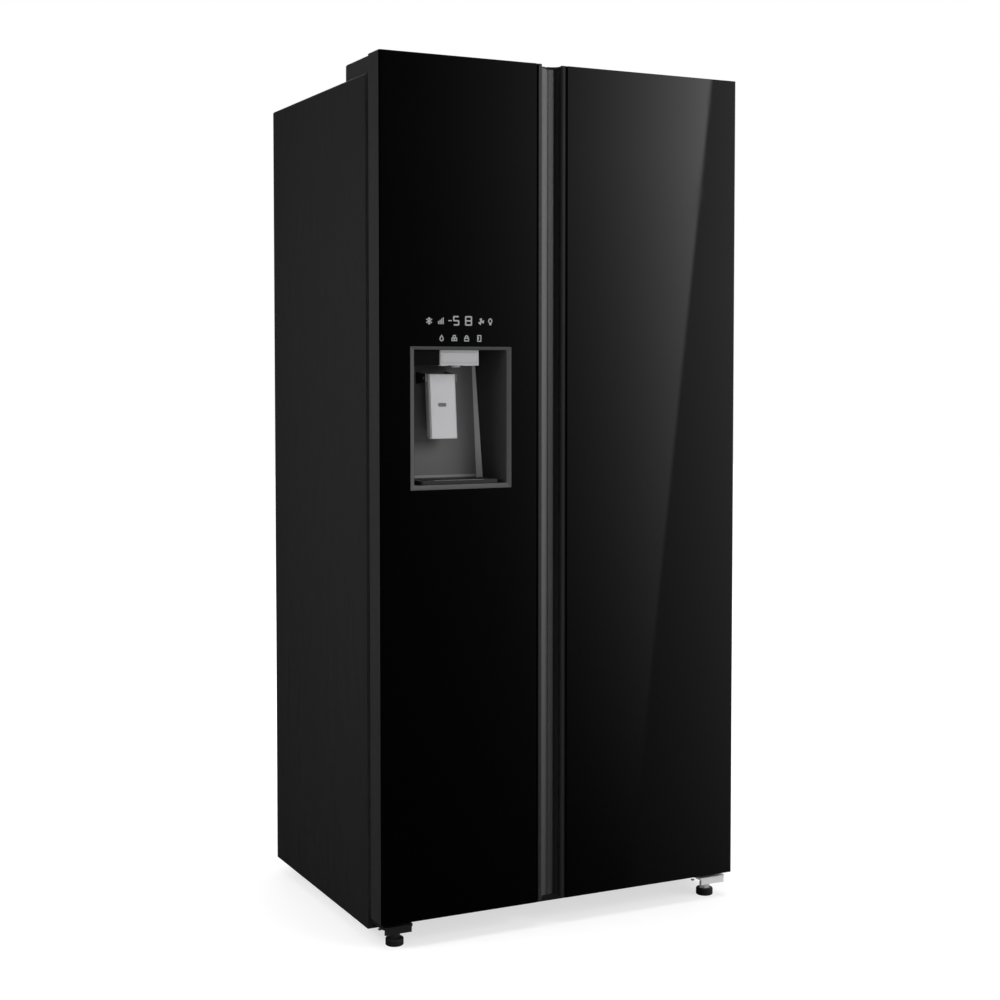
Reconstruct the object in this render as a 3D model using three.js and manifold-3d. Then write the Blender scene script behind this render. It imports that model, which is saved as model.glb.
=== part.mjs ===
// A side by side refrigerator with a glass fronted freezer door, which holds a water and ice
// dispenser, and a wider glass fronted fridge door.
//
// Millimetres, +Z up, the doors face -Y. The origin is on the floor, under the middle of the
// outline. The word "left" means -X, as seen by someone who stands in front of the doors.

import * as THREE from "three";
import { mergeVertices } from "three/addons/utils/BufferGeometryUtils.js";
import Module from "manifold-3d";

const wasm = await Module();
wasm.setup();

// ---------------------------------------------------------------------------------------------
// Driving dimensions
// ---------------------------------------------------------------------------------------------

// Whole appliance
const width = 830;
const depth = 638; // glass face to back panel
const floorClearance = 27.5; // floor to the cabinet's lower edge
const cabinetHeight = 1718;
const fit = 0.3; // clearance between pieces that seat on each other

// Cabinet
const steel = 1.2; // outer wrap, front frame and rear covers
const wrapRadius = 4; // bend at the cabinet's upper long edges
const frameWidth = 38; // front frame beside and above the compartments
const railHeight = 52; // front frame below the compartments
const mullionStrip = 46; // front frame between the compartments
const sideWall = 52; // outside of the wrap to the compartment
const topWall = 58;
const bottomWall = 62;
const rearWall = 60;
const mullionWall = 54; // foam and liners between the compartments
const linerSheet = 2;
const panSheet = 1.5;
const beadWidth = 14; // pressed beads of the back panel
const beadEnd = 90;
const machineHeight = 228;
const machineDepth = 200;
const machineWall = 50; // insulation over and in front of the machine compartment
const humpRun = 12; // how far the liner's step leans back
const ribOut = 8; // shelf ribs, out from the liner
const ribHeight = 10;

// Doors
const doorRise = 26.5; // cabinet's lower edge to the doors' lower edge
const doorOverTop = 34.5; // doors' upper edge over the cabinet's top
const doorThickness = 57;
const sealGap = 17; // door flange to cabinet front
const splitFromLeft = 381; // cabinet's left side to the middle of the gap between the doors
const doorGap = 4;
const glass = 4;
const doorSkin = 3; // side strip and end caps of a door
const gripWidth = 45; // between the two rounded noses of the grip channel
const gripNose = 13.5; // width of each nose, from the channel to the glass
const noseRise = 0.8; // nose behind the glass face
const noseRound = 2.4; // its rounded edge along the channel
const noseGroove = 3; // shadow groove between the glass and a nose
const noseBase = 3; // depth of the groove's floor
const glassChamfer = 2.4; // along the hinged side of the glass
const gripDepth = 27; // deepest line of the channel
const gripUndercut = 1.5; // how far the scoop runs behind each nose
const gripSheet = 2;
const pinInset = 20; // hinge pin from the door's outer side
const pinDepth = 34; // hinge pin behind the glass face
const pinRadius = 5;
const pinEngagement = 14; // how far a hinge pin reaches into the door
const sealWidth = 14;
const sealSideInset = 21; // seal from the door's hinged side
const sealSplitInset = 4; // seal from the door's free side
const sealTopInset = 5; // seal from the cabinet's top
const sealBottomInset = 10; // seal from the door's lower edge
const dykeInset = 16; // compartment wall to the door liner's upright ridges
const dykeWidth = 26;
const dykeDepth = 46;
const dykeEndInset = 18;

// Dispenser: places are from the freezer door's left side and lower edge
const bezelLeft = 64;
const bezelWidth = 224;
const bezelBottom = 865;
const bezelHeight = 286;
const bezelBorder = 9.5;
const bezelTopBorder = 6.5;
const recessDepthTop = 115;
const recessDepthBottom = 90;
const recessDraft = 0.2; // side walls close in by this share of the depth
const recessSheet = 2.5;
const recessInsulation = 14;
const recessFlange = 6; // recess rim behind the glass
const cornerTop = 4; // chamfer between the recess's back and side walls, at its upper end
const cornerBottom = 9;
const nozzleLeft = 133;
const nozzleWidth = 88;
const nozzleHeight = 31;
const nozzleFront = 12; // nozzle housing behind the glass face
const nozzleDepth = 62;
const spoutRadius = 9;
const spoutLength = 4;
const paddleLeft = 129;
const paddleWidth = 60;
const paddleBottom = 965;
const paddleHeight = 131;
const paddleThickness = 18;
const paddleFront = 46; // lever's lower edge behind the glass face
const paddlePinRadius = 3;
const paddleEar = 5; // thickness of the recess's two ears
const trayHeight = 8;
const trayDepth = 70;
const displayHeight = 64; // display module, behind the glass over the dispenser
const displayWidth = 160;
const displayLeft = 96;
const displayThickness = 9;

// Door bins
const binDepth = 105;
const binWall = 2.5;
const binHeight = 105;
const binCorner = 22; // seen from above
const binLipHeight = 62; // lower front edge of a bin
const freezerBins = [175, 600, 1290]; // heights above the doors' lower edge
const fridgeBins = [175, 640, 1230];

// Shelves, drawers
const shelfThickness = 6;
const shelfSideGap = 1.5;
const shelfFrontBehindBins = 30;
const shelfEdge = 10; // depth of the trim along a shelf's front
const shelfEdgeDrop = 6; // how far that trim hangs below the glass
const drawerWall = 2.5;
const drawerFront = 10;
const drawerBehindBins = 14; // door bins to the drawer fronts
const lowerDrawerHeight = 198;
const upperDrawerHeight = 205;
const upperDrawerRise = 222; // compartment floor to the upper drawer
const drawerSideGap = 11; // compartment wall to a drawer's side
const runnerOut = 9; // a drawer's runners, which ride on the liner's ribs
const runnerHeight = 8;
const runnerFront = 130; // drawer front to the runners' front ends
const freezerLowerShelf = 560; // heights above the compartment floor
const freezerUpperShelf = 1170;
const crisperCoverShelf = 448;
const fridgeMiddleShelf = 790;
const fridgeUpperShelf = 1170;

// Air panels and evaporator
const airPanelSheet = 3;
const airDuct = 60; // freezer liner's back to the air panel's front
const airSlotWidth = 46;
const airSlotHeight = 7;
const freezerFanRadius = 46;
const freezerFanDrop = 252; // under the foam's ceiling
const fanRunningGap = 5;
const evaporatorWidth = 240;
const evaporatorHeight = 420;
const evaporatorDepth = 40;
const evaporatorRise = 330; // above the liner's step
const finPitch = 12;
const finSheet = 1.6;
const towerWidth = 110;
const towerDepth = 34;
const towerUnderCeiling = 55.4; // compartment ceiling to the top of the tower
const towerRise = 40; // crisper cover to the foot of the tower

// Ice maker and bucket
const iceMakerWidth = 110;
const iceMakerLength = 250;
const iceMakerHeight = 84;
const iceCell = 34;
const iceWall = 5;
const bucketHeight = 190;
const bucketOutlet = 90;

// Machine compartment
const compressorRadius = 78;
const compressorSeam = 0.53; // share of the height at which the two shells meet
const compressorHeight = 172;
const compressorFromRight = 190;
const condenserTube = 4;
const condenserPitch = 26;
const condenserPasses = 7;
const condenserLength = 300;
const condenserFanRadius = 74;
const shroudFromSplit = 60; // fan shroud to the right of the door split
const shroudSheet = 4;
const motorRadius = 20;
const motorLength = 34;
const coverSlotWidth = 84;
const coverSlotHeight = 6;
const coverSlotPitch = 16;

// Hinges, feet and rollers
const hingeSheet = 3;
const hingeCoverInset = 19; // from the cabinet's side
const hingeCoverWidth = 92;
const hingeCoverRear = 237; // behind the glass face
const hingeCoverSheet = 2;
const hingeCoverOverhang = 3; // in front of the cabinet
const hingeCoverCorner = 12; // seen from above
const hingeFoot = 92; // length of the upper hinge on the cabinet's top
const lowerHingeInset = 8;
const lowerHingeWidth = 66;
const lowerHingeDrop = 9; // door's lower edge to the bracket's upper face
const lowerHingeLip = 15;
const footInset = 44;
const footDepth = 40; // behind the glass face
const footRadius = 21;
const footHeight = 9;
const footStud = 5;
const rollerRadius = 12;
const rollerWidth = 20;
const rollerInset = 55; // from the side
const rollerFromBack = 34;
const rollerAxle = 3.5;

// ---------------------------------------------------------------------------------------------
// Places that follow from them
// ---------------------------------------------------------------------------------------------

const left = -width / 2;
const right = width / 2;
const front = -depth / 2;
const back = depth / 2;
const split = left + splitFromLeft;
const cabinetBottom = floorClearance;
const cabinetTop = cabinetBottom + cabinetHeight;
const doorBottom = cabinetBottom + doorRise;
const doorTop = cabinetTop + doorOverTop;
const doorBack = front + doorThickness;
const cabinetFront = doorBack + sealGap;
const machineTop = cabinetBottom + machineHeight;
const machineFront = back - machineDepth;
const floorZ = cabinetBottom + bottomWall; // compartment floor, foam side
const ceilingZ = cabinetTop - topWall;
const rearY = back - rearWall;
const humpY = machineFront - machineWall;
const humpZ = machineTop + machineWall;
const liner = linerSheet + fit; // foam to the inside of a liner
const binBack = doorBack + binDepth;
const drawerY = binBack + drawerBehindBins;
const shelfY = binBack + shelfFrontBehindBins;
const freezerRoom = { x0: left + sideWall, x1: split - mullionWall / 2 };
const fridgeRoom = { x0: split + mullionWall / 2, x1: right - sideWall };
const airPanelY = rearY - liner - airDuct;

// ---------------------------------------------------------------------------------------------
// Making and joining solids
// ---------------------------------------------------------------------------------------------

// The convex solid round some corners.
function hull(corners) {
  return wasm.Manifold.hull(corners);
}

// A closed three.js geometry as a manifold solid.
function solid(geometry) {
  const plain = new THREE.BufferGeometry();
  plain.setAttribute("position", geometry.getAttribute("position"));
  if (geometry.index) plain.setIndex(geometry.index);
  const merged = mergeVertices(plain, 1e-3);
  return new wasm.Manifold(
    new wasm.Mesh({
      numProp: 3,
      vertProperties: merged.attributes.position.array,
      triVerts: new Uint32Array(merged.index.array),
    }),
  );
}

// A manifold solid as a named mesh.
function mesh(name, body, material) {
  const made = body.getMesh();
  const geometry = new THREE.BufferGeometry();
  geometry.setAttribute(
    "position",
    new THREE.BufferAttribute(new Float32Array(made.vertProperties), 3),
  );
  geometry.setIndex(new THREE.BufferAttribute(new Uint32Array(made.triVerts), 1));
  geometry.computeVertexNormals();
  const part = new THREE.Mesh(geometry, material);
  part.name = name;
  return part;
}

const join = (bodies) => bodies.reduce((whole, body) => whole.add(body));
const cut = (body, tools) => tools.reduce((rest, tool) => rest.subtract(tool), body);

// A block between two values on each axis.
function block(x0, x1, y0, y1, z0, z1) {
  const geometry = new THREE.BoxGeometry(x1 - x0, y1 - y0, z1 - z0);
  geometry.translate((x0 + x1) / 2, (y0 + y1) / 2, (z0 + z1) / 2);
  return solid(geometry);
}

// The outline through [a, b] pairs, turned so that it runs anticlockwise.
function outline(points) {
  const ring = points.map(([a, b]) => new THREE.Vector2(a, b));
  return THREE.ShapeUtils.isClockWise(ring) ? ring.reverse() : ring;
}

function extruded(shape, length) {
  return new THREE.ExtrudeGeometry(shape, { depth: length, bevelEnabled: false });
}

// Prisms over an outline: along Z over (x, y), along Y over (x, z), along X over (y, z).
function prismZ(points, z0, z1) {
  const geometry = extruded(new THREE.Shape(outline(points)), z1 - z0);
  geometry.translate(0, 0, z0);
  return solid(geometry);
}

function prismY(points, y0, y1) {
  const geometry = extruded(new THREE.Shape(outline(points)), y1 - y0);
  geometry.rotateX(Math.PI / 2);
  geometry.translate(0, y1, 0);
  return solid(geometry);
}

function prismX(points, x0, x1) {
  const geometry = extruded(new THREE.Shape(outline(points)), x1 - x0);
  geometry.rotateX(Math.PI / 2);
  geometry.rotateZ(Math.PI / 2);
  geometry.translate(x0, 0, 0);
  return solid(geometry);
}

// A rectangle's corners as arcs, as [a, b] pairs.
function roundedRectangle(a0, a1, b0, b1, radius, steps = 3) {
  const corners = [
    [a1 - radius, b1 - radius, 0],
    [a0 + radius, b1 - radius, 1],
    [a0 + radius, b0 + radius, 2],
    [a1 - radius, b0 + radius, 3],
  ];
  return corners.flatMap(([a, b, quarter]) =>
    Array.from({ length: steps + 1 }, (_, i) => {
      const angle = ((quarter + i / steps) * Math.PI) / 2;
      return [a + radius * Math.cos(angle), b + radius * Math.sin(angle)];
    }),
  );
}

// A body of revolution about an upright line at (x, y): the profile holds [radius, z] pairs and
// starts and ends on the axis.
function turned(profile, x, y, sides = 24) {
  const ring = profile.map(([r, z]) => new THREE.Vector2(r, z));
  const geometry = new THREE.LatheGeometry(ring, sides);
  geometry.rotateX(Math.PI / 2);
  geometry.translate(x, y, 0);
  return solid(geometry);
}

// A cylinder along "x", "y" or "z", from one value to another on that axis, round the two others.
function cylinder(axis, from, to, radius, a, b, sides = 20) {
  const geometry = new THREE.CylinderGeometry(radius, radius, to - from, sides);
  const middle = (from + to) / 2;
  if (axis === "x") geometry.rotateZ(Math.PI / 2).translate(middle, a, b);
  if (axis === "y") geometry.translate(a, middle, b);
  if (axis === "z") geometry.rotateX(Math.PI / 2).translate(a, b, middle);
  return solid(geometry);
}

// A six faced body from its corners, listed as the lower then the upper ring, anticlockwise
// from above.
function wedge(corners) {
  const geometry = new THREE.BufferGeometry();
  geometry.setAttribute("position", new THREE.Float32BufferAttribute(corners.flat(), 3));
  const sides = [0, 1, 2, 3].flatMap((i) => {
    const next = (i + 1) % 4;
    return [i, next, next + 4, i, next + 4, i + 4];
  });
  geometry.setIndex([0, 2, 1, 0, 3, 2, 4, 5, 6, 4, 6, 7, ...sides]);
  return solid(geometry);
}

// A bent line for a tube, which is stepped at its own points.
class Route extends THREE.Curve {
  constructor(points) {
    super();
    this.points = points;
  }
  getUtoTmapping(u) {
    return u;
  }
  getPoint(t, target = new THREE.Vector3()) {
    const last = this.points.length - 1;
    const place = Math.min(Math.max(t, 0), 1) * last;
    const i = Math.min(Math.floor(place), last - 1);
    return target.lerpVectors(this.points[i], this.points[i + 1], place - i);
  }
}

function tube(points, radius, sides = 8) {
  const section = new THREE.Shape(
    Array.from({ length: sides }, (_, i) => {
      const angle = (2 * Math.PI * i) / sides;
      return new THREE.Vector2(radius * Math.cos(angle), radius * Math.sin(angle));
    }),
  );
  return solid(
    new THREE.ExtrudeGeometry(section, {
      steps: points.length - 1,
      extrudePath: new Route(points),
    }),
  );
}

// ---------------------------------------------------------------------------------------------
// Materials
// ---------------------------------------------------------------------------------------------

function finish(color, roughness, metalness = 0) {
  return new THREE.MeshStandardMaterial({ color, roughness, metalness });
}

const blackSheet = finish(0x232323, 0.45, 0.2);
const blackGlass = finish(0x050505, 0.06);
const blackPlastic = finish(0x161616, 0.5);
const darkTrim = finish(0x303030, 0.4, 0.3);
const satinGrip = finish(0x6f6f70, 0.35, 0.8);
const greyTrim = finish(0x55565a, 0.35, 0.5);
const silver = finish(0xb9babc, 0.3, 0.8);
const zinc = finish(0xb4b6b8, 0.4, 0.9);
const galvanised = finish(0x8d9092, 0.5, 0.8);
const whiteLiner = finish(0xf1f2f2, 0.4);
const foam = finish(0xe6d9a8, 0.9);
const rubber = finish(0x5c5e60, 0.8);
const blackRubber = finish(0x121212, 0.8);
const clearGlass = finish(0xcfe0de, 0.05);
const clearPlastic = finish(0xdfe8ea, 0.15);
const copper = finish(0x9a5b3c, 0.35, 0.9);
const blackPaint = finish(0x18191a, 0.4, 0.4);

// ---------------------------------------------------------------------------------------------
// Cabinet: steel wrap, pan, foam, liners
// ---------------------------------------------------------------------------------------------

// The wrap seen from the front, drawn in by an inset: square below, bent at its upper corners.
function wrapOutline(inset) {
  const steps = 3;
  const corners = roundedRectangle(
    left + inset,
    right - inset,
    cabinetBottom,
    cabinetTop - inset,
    wrapRadius - inset,
    steps,
  );
  const upper = corners.slice(0, 2 * (steps + 1));
  return [[right - inset, cabinetBottom], ...upper, [left + inset, cabinetBottom]];
}

// The steel front frame with its two windows, and the wrap of both sides and the top.
function outerShell() {
  const wrap = prismY([...wrapOutline(0), ...wrapOutline(steel).reverse()], cabinetFront, back);
  const windowZ = [cabinetBottom + railHeight, cabinetTop - frameWidth];
  const frame = cut(block(left, right, cabinetFront, cabinetFront + steel, cabinetBottom, cabinetTop), [
    block(
      left + frameWidth,
      split - mullionStrip / 2,
      cabinetFront - 1,
      cabinetFront + steel + 1,
      ...windowZ,
    ),
    block(
      split + mullionStrip / 2,
      right - frameWidth,
      cabinetFront - 1,
      cabinetFront + steel + 1,
      ...windowZ,
    ),
  ]);
  const envelope = prismY(wrapOutline(0), cabinetFront, back);
  return mesh("outer_shell", join([wrap, frame.intersect(envelope)]), blackSheet);
}

// The bent steel floor: flat under the compartments, then up and over the machine compartment,
// with cheeks at its sides, the lower deck that carries the compressor, and the roller ears.
function basePan() {
  const x0 = left + steel + fit;
  const x1 = right - steel - fit;
  const y0 = cabinetFront + steel + fit;
  const y1 = back - steel - fit;
  const bottom = cabinetBottom + panSheet;
  const parts = [
    block(x0, x1, y0, y1, cabinetBottom, bottom),
    block(x0, x1, machineFront - panSheet, machineFront, cabinetBottom, machineTop),
    block(x0, x1, machineFront - panSheet, y1, machineTop - panSheet, machineTop),
    block(x0, x0 + panSheet, machineFront - panSheet, y1, cabinetBottom, machineTop),
    block(x1 - panSheet, x1, machineFront - panSheet, y1, cabinetBottom, machineTop),
    evaporationTray(bottom),
  ];
  for (const side of [-1, 1]) {
    for (const end of [-1, 1]) {
      const x = side * (right - rollerInset) + end * (rollerWidth / 2 + 1 + panSheet);
      parts.push(rollerEar(x - panSheet / 2, x + panSheet / 2));
    }
  }
  return mesh("base_pan", join(parts), galvanised);
}

// The low rimmed dish that catches defrost water, pressed into the deck.
function evaporationTray(z) {
  const x1 = split;
  const x0 = x1 - condenserLength - 40;
  const y0 = machineFront + 18;
  const y1 = back - 30;
  const rim = 18;
  return cut(block(x0, x1, y0, y1, z - panSheet, z + rim), [
    block(x0 + panSheet, x1 - panSheet, y0 + panSheet, y1 - panSheet, z, z + rim + 1),
  ]);
}

function rollerEar(x0, x1) {
  const y = back - rollerFromBack;
  const half = 10;
  const low = rollerRadius - 7;
  const ear = prismX(
    [
      [y - half, cabinetBottom + panSheet / 2],
      [y - half * 0.6, low],
      [y + half * 0.6, low],
      [y + half, cabinetBottom + panSheet / 2],
    ],
    x0,
    x1,
  );
  return cut(ear, [cylinder("x", x0 - 1, x1 + 1, rollerAxle + fit, y, rollerRadius, 16)]);
}

// A compartment's outline from the side, drawn in by an inset, open to the front.
function roomOutline(inset, y0) {
  return [
    [y0, floorZ + inset],
    [humpY - inset, floorZ + inset],
    [humpY - inset + humpRun, humpZ + inset],
    [rearY - inset, humpZ + inset],
    [rearY - inset, ceilingZ - inset],
    [y0, ceilingZ - inset],
  ];
}

function roomSpace(room, inset, y0) {
  return prismX(roomOutline(inset, y0), room.x0 + inset, room.x1 - inset);
}

// The foam body between wrap and liners, with a step over the machine compartment.
function cabinetFoam() {
  const y0 = cabinetFront + linerSheet + fit;
  const y1 = back - steel - fit;
  const body = prismX(
    [
      [y0, cabinetBottom + panSheet + fit],
      [machineFront - panSheet - fit, cabinetBottom + panSheet + fit],
      [machineFront - panSheet - fit, machineTop + fit],
      [y1, machineTop + fit],
      [y1, cabinetTop],
      [y0, cabinetTop],
    ],
    left,
    right,
  ).intersect(prismY(wrapOutline(steel + fit), y0, y1));
  return mesh(
    "cabinet_foam",
    cut(body, [roomSpace(freezerRoom, 0, y0 - 1), roomSpace(fridgeRoom, 0, y0 - 1)]),
    foam,
  );
}

// A thin moulded liner with its front lip, and ribs at the given heights above the floor.
function linerBody(room, lipX0, lipX1, ribs) {
  const lip = cut(
    block(
      lipX0,
      lipX1,
      cabinetFront,
      cabinetFront + linerSheet,
      cabinetBottom + railHeight + fit,
      cabinetTop - frameWidth - fit,
    ),
    [roomSpace(room, fit + linerSheet, cabinetFront - 1)],
  );
  const shell = cut(roomSpace(room, fit, cabinetFront), [
    roomSpace(room, fit + linerSheet, cabinetFront - 1),
  ]);
  const parts = [shell, lip];
  for (const { z, y1 } of ribs) {
    for (const side of ["left", "right"]) {
      const wall = side === "left" ? room.x0 + liner : room.x1 - liner;
      const out = side === "left" ? wall + ribOut : wall - ribOut;
      const back0 = side === "left" ? wall - linerSheet / 2 : wall + linerSheet / 2;
      const x0 = Math.min(back0, out);
      const x1 = Math.max(back0, out);
      const rib = block(x0, x1, shelfY + shelfEdge, y1, z - ribHeight, z);
      parts.push(rib.intersect(roomSpace(room, fit, cabinetFront)));
    }
  }
  return join(parts);
}

function linerRib(rise, y1) {
  return { z: floorZ + liner + rise - fit, y1 };
}

function liners() {
  const freezerRibEnd = airPanelY - 8;
  const fridgeRibEnd = rearY - liner - 20;
  const freezer = linerBody(
    freezerRoom,
    left + frameWidth + fit,
    split - mullionStrip / 2 - fit,
    [upperDrawerRise, freezerLowerShelf, freezerUpperShelf].map((rise) =>
      linerRib(rise, freezerRibEnd),
    ),
  );
  const fridge = linerBody(
    fridgeRoom,
    split + mullionStrip / 2 + fit,
    right - frameWidth - fit,
    [upperDrawerRise, crisperCoverShelf, fridgeMiddleShelf, fridgeUpperShelf].map((rise) =>
      linerRib(rise, fridgeRibEnd),
    ),
  );
  return [
    mesh("freezer_liner", freezer, whiteLiner),
    mesh("fridge_liner", fridge, whiteLiner),
  ];
}

// The rear sheet, stiffened by pressed beads.
function backPanel() {
  const x0 = left + steel + fit;
  const x1 = right - steel - fit;
  const z0 = machineTop + fit;
  const beads = [0.2, 0.5, 0.8].map((share) => {
    const x = x0 + (x1 - x0) * share;
    return block(
      x - beadWidth / 2,
      x + beadWidth / 2,
      back - steel / 2,
      back + 1,
      z0 + beadEnd,
      cabinetTop - beadEnd,
    );
  });
  const sheet = prismY(wrapOutline(steel + fit), back - steel, back).subtract(
    block(left, right, front, back + 1, 0, z0),
  );
  return mesh("back_panel", cut(sheet, beads), galvanised);
}

// The louvred cover of the machine compartment.
function machineCover() {
  const x0 = left + steel + fit;
  const x1 = right - steel - fit;
  const z0 = cabinetBottom;
  const z1 = machineTop;
  const rows = Math.floor((machineHeight - 60) / coverSlotPitch);
  const columns = Math.floor((width - 100) / (coverSlotWidth + 24));
  const columnPitch = (x1 - x0 - 60) / columns;
  const slots = [];
  for (let row = 0; row < rows; row++) {
    const z = z0 + 36 + row * coverSlotPitch;
    for (let column = 0; column < columns; column++) {
      const x = x0 + 30 + (column + 0.5) * columnPitch;
      slots.push(
        block(
          x - coverSlotWidth / 2,
          x + coverSlotWidth / 2,
          back - steel - 1,
          back + 1,
          z,
          z + coverSlotHeight,
        ),
      );
    }
  }
  const sheet = block(x0, x1, back - steel, back, z0, z1);
  return mesh("machine_cover", cut(sheet, slots), blackPaint);
}

// ---------------------------------------------------------------------------------------------
// Machine compartment
// ---------------------------------------------------------------------------------------------

const machineMidY = (machineFront + back) / 2;
const deckZ = cabinetBottom + panSheet;

function compressor() {
  const x = right - compressorFromRight;
  const footZ = deckZ + 12;
  const top = footZ + compressorHeight;
  const r = compressorRadius;
  const seam = footZ + compressorHeight * compressorSeam;
  const shell = turned(
    [
      [0, footZ],
      [r * 0.7, footZ],
      [r * 0.95, footZ + 16],
      [r, footZ + 34],
      [r, seam - 5],
      [r * 1.04, seam - 3],
      [r * 1.04, seam + 3],
      [r, seam + 5],
      [r * 0.93, top - 26],
      [r * 0.62, top - 6],
      [0, top],
    ],
    x,
    machineMidY,
    20,
  );
  const plate = block(x - r - 8, x + r + 8, machineMidY - 52, machineMidY + 52, footZ, footZ + 3);
  const feet = [-1, 1].flatMap((i) =>
    [-1, 1].map((j) => {
      const footX = x + i * (r - 2);
      const footY = machineMidY + j * 40;
      return cylinder("z", deckZ + fit, footZ + 1, 10, footX, footY, 12);
    }),
  );
  const terminals = block(
    x - 28,
    x + 28,
    machineMidY + r - 14,
    machineMidY + r + 16,
    seam - 61,
    seam - 9,
  );
  const pipes = [-24, 24].map((dx) =>
    cylinder("z", top - 30, top + 16, 4, x + dx, machineMidY - 20, 10),
  );
  return mesh("compressor", join([shell, plate, ...feet, terminals, ...pipes]), blackPaint);
}

// A serpentine of level passes, joined by half rings, that stands on two straps.
function condenserCoil() {
  const x1 = split - 20;
  const x0 = x1 - condenserLength;
  const bend = condenserPitch / 2;
  const base = deckZ + 34;
  const points = [new THREE.Vector3(x0, machineMidY, base)];
  for (let pass = 0; pass < condenserPasses; pass++) {
    const z = base + pass * condenserPitch;
    const outward = pass % 2 === 0 ? 1 : -1;
    const endX = outward > 0 ? x1 : x0;
    points.push(new THREE.Vector3(endX, machineMidY, z));
    if (pass === condenserPasses - 1) break;
    for (let i = 1; i < 6; i++) {
      const angle = -Math.PI / 2 + (Math.PI * i) / 6;
      points.push(
        new THREE.Vector3(
          endX + outward * bend * Math.cos(angle),
          machineMidY,
          z + bend + bend * Math.sin(angle),
        ),
      );
    }
    points.push(new THREE.Vector3(endX, machineMidY, z + condenserPitch));
  }
  const straps = [x0 + 30, x1 - 30].map((x) =>
    block(
      x - 5,
      x + 5,
      machineMidY - 2,
      machineMidY + 2,
      deckZ + fit,
      base + (condenserPasses - 1) * condenserPitch + 8,
    ),
  );
  return mesh("condenser_coil", join([tube(points, condenserTube), ...straps]), copper);
}

// A plate across the compartment with a round throat, and the motor held by three arms.
const shroudX = split + shroudFromSplit;
const condenserFanZ = deckZ + machineHeight / 2;

function condenserFanShroud() {
  const half = condenserFanRadius + 18;
  const throat = condenserFanRadius + fanRunningGap;
  const plate = cut(
    block(
      shroudX,
      shroudX + shroudSheet,
      machineMidY - half,
      machineMidY + half,
      deckZ + fit,
      condenserFanZ + half,
    ),
    [cylinder("x", shroudX - 1, shroudX + shroudSheet + 1, throat, machineMidY, condenserFanZ, 28)],
  );
  const motor = cylinder(
    "x",
    shroudX - motorLength,
    shroudX + shroudSheet,
    motorRadius,
    machineMidY,
    condenserFanZ,
    16,
  );
  const arms = [0, 1, 2].map((i) => {
    const geometry = new THREE.BoxGeometry(shroudSheet, throat + 4 - motorRadius / 2, 8);
    geometry.translate(0, (throat + 4 + motorRadius / 2) / 2, 0);
    geometry.rotateX((i * 2 * Math.PI) / 3 + Math.PI / 2);
    geometry.translate(shroudX + shroudSheet / 2, machineMidY, condenserFanZ);
    return solid(geometry);
  });
  return mesh("condenser_fan_shroud", join([plate, motor, ...arms]), blackPlastic);
}

// A hub with twisted blades that turns about +Z at the origin, and is then laid where it belongs.
function fanBody(radius, hubRadius, hubLength, blades, place) {
  const parts = [];
  const hub = new THREE.CylinderGeometry(hubRadius, hubRadius, hubLength, 16);
  hub.rotateX(Math.PI / 2);
  hub.translate(0, 0, hubLength / 2);
  parts.push(hub);
  for (let i = 0; i < blades; i++) {
    const sweep = new THREE.Shape([
      new THREE.Vector2(hubRadius * 0.6, -hubRadius * 0.42),
      new THREE.Vector2(radius * 0.62, -radius * 0.3),
      new THREE.Vector2(radius * 0.94, -radius * 0.22),
      new THREE.Vector2(radius * 0.985, radius * 0.08),
      new THREE.Vector2(radius * 0.86, radius * 0.3),
      new THREE.Vector2(radius * 0.5, radius * 0.26),
      new THREE.Vector2(hubRadius * 0.6, hubRadius * 0.42),
    ]);
    const blade = extruded(sweep, 2);
    blade.translate(0, 0, -1);
    blade.rotateX(0.5);
    blade.translate(0, 0, hubLength / 2);
    blade.rotateZ((i * 2 * Math.PI) / blades);
    parts.push(blade);
  }
  return join(parts.map((geometry) => solid(geometry.applyMatrix4(place))));
}

function condenserFan() {
  const place = new THREE.Matrix4()
    .makeTranslation(shroudX + shroudSheet + fit, machineMidY, condenserFanZ)
    .multiply(new THREE.Matrix4().makeRotationY(Math.PI / 2));
  return mesh(
    "condenser_fan",
    fanBody(condenserFanRadius, 22, 24, 5, place),
    blackPlastic,
  );
}

// ---------------------------------------------------------------------------------------------
// Compartment fittings
// ---------------------------------------------------------------------------------------------

const freezerFanZ = ceilingZ - freezerFanDrop;

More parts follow.
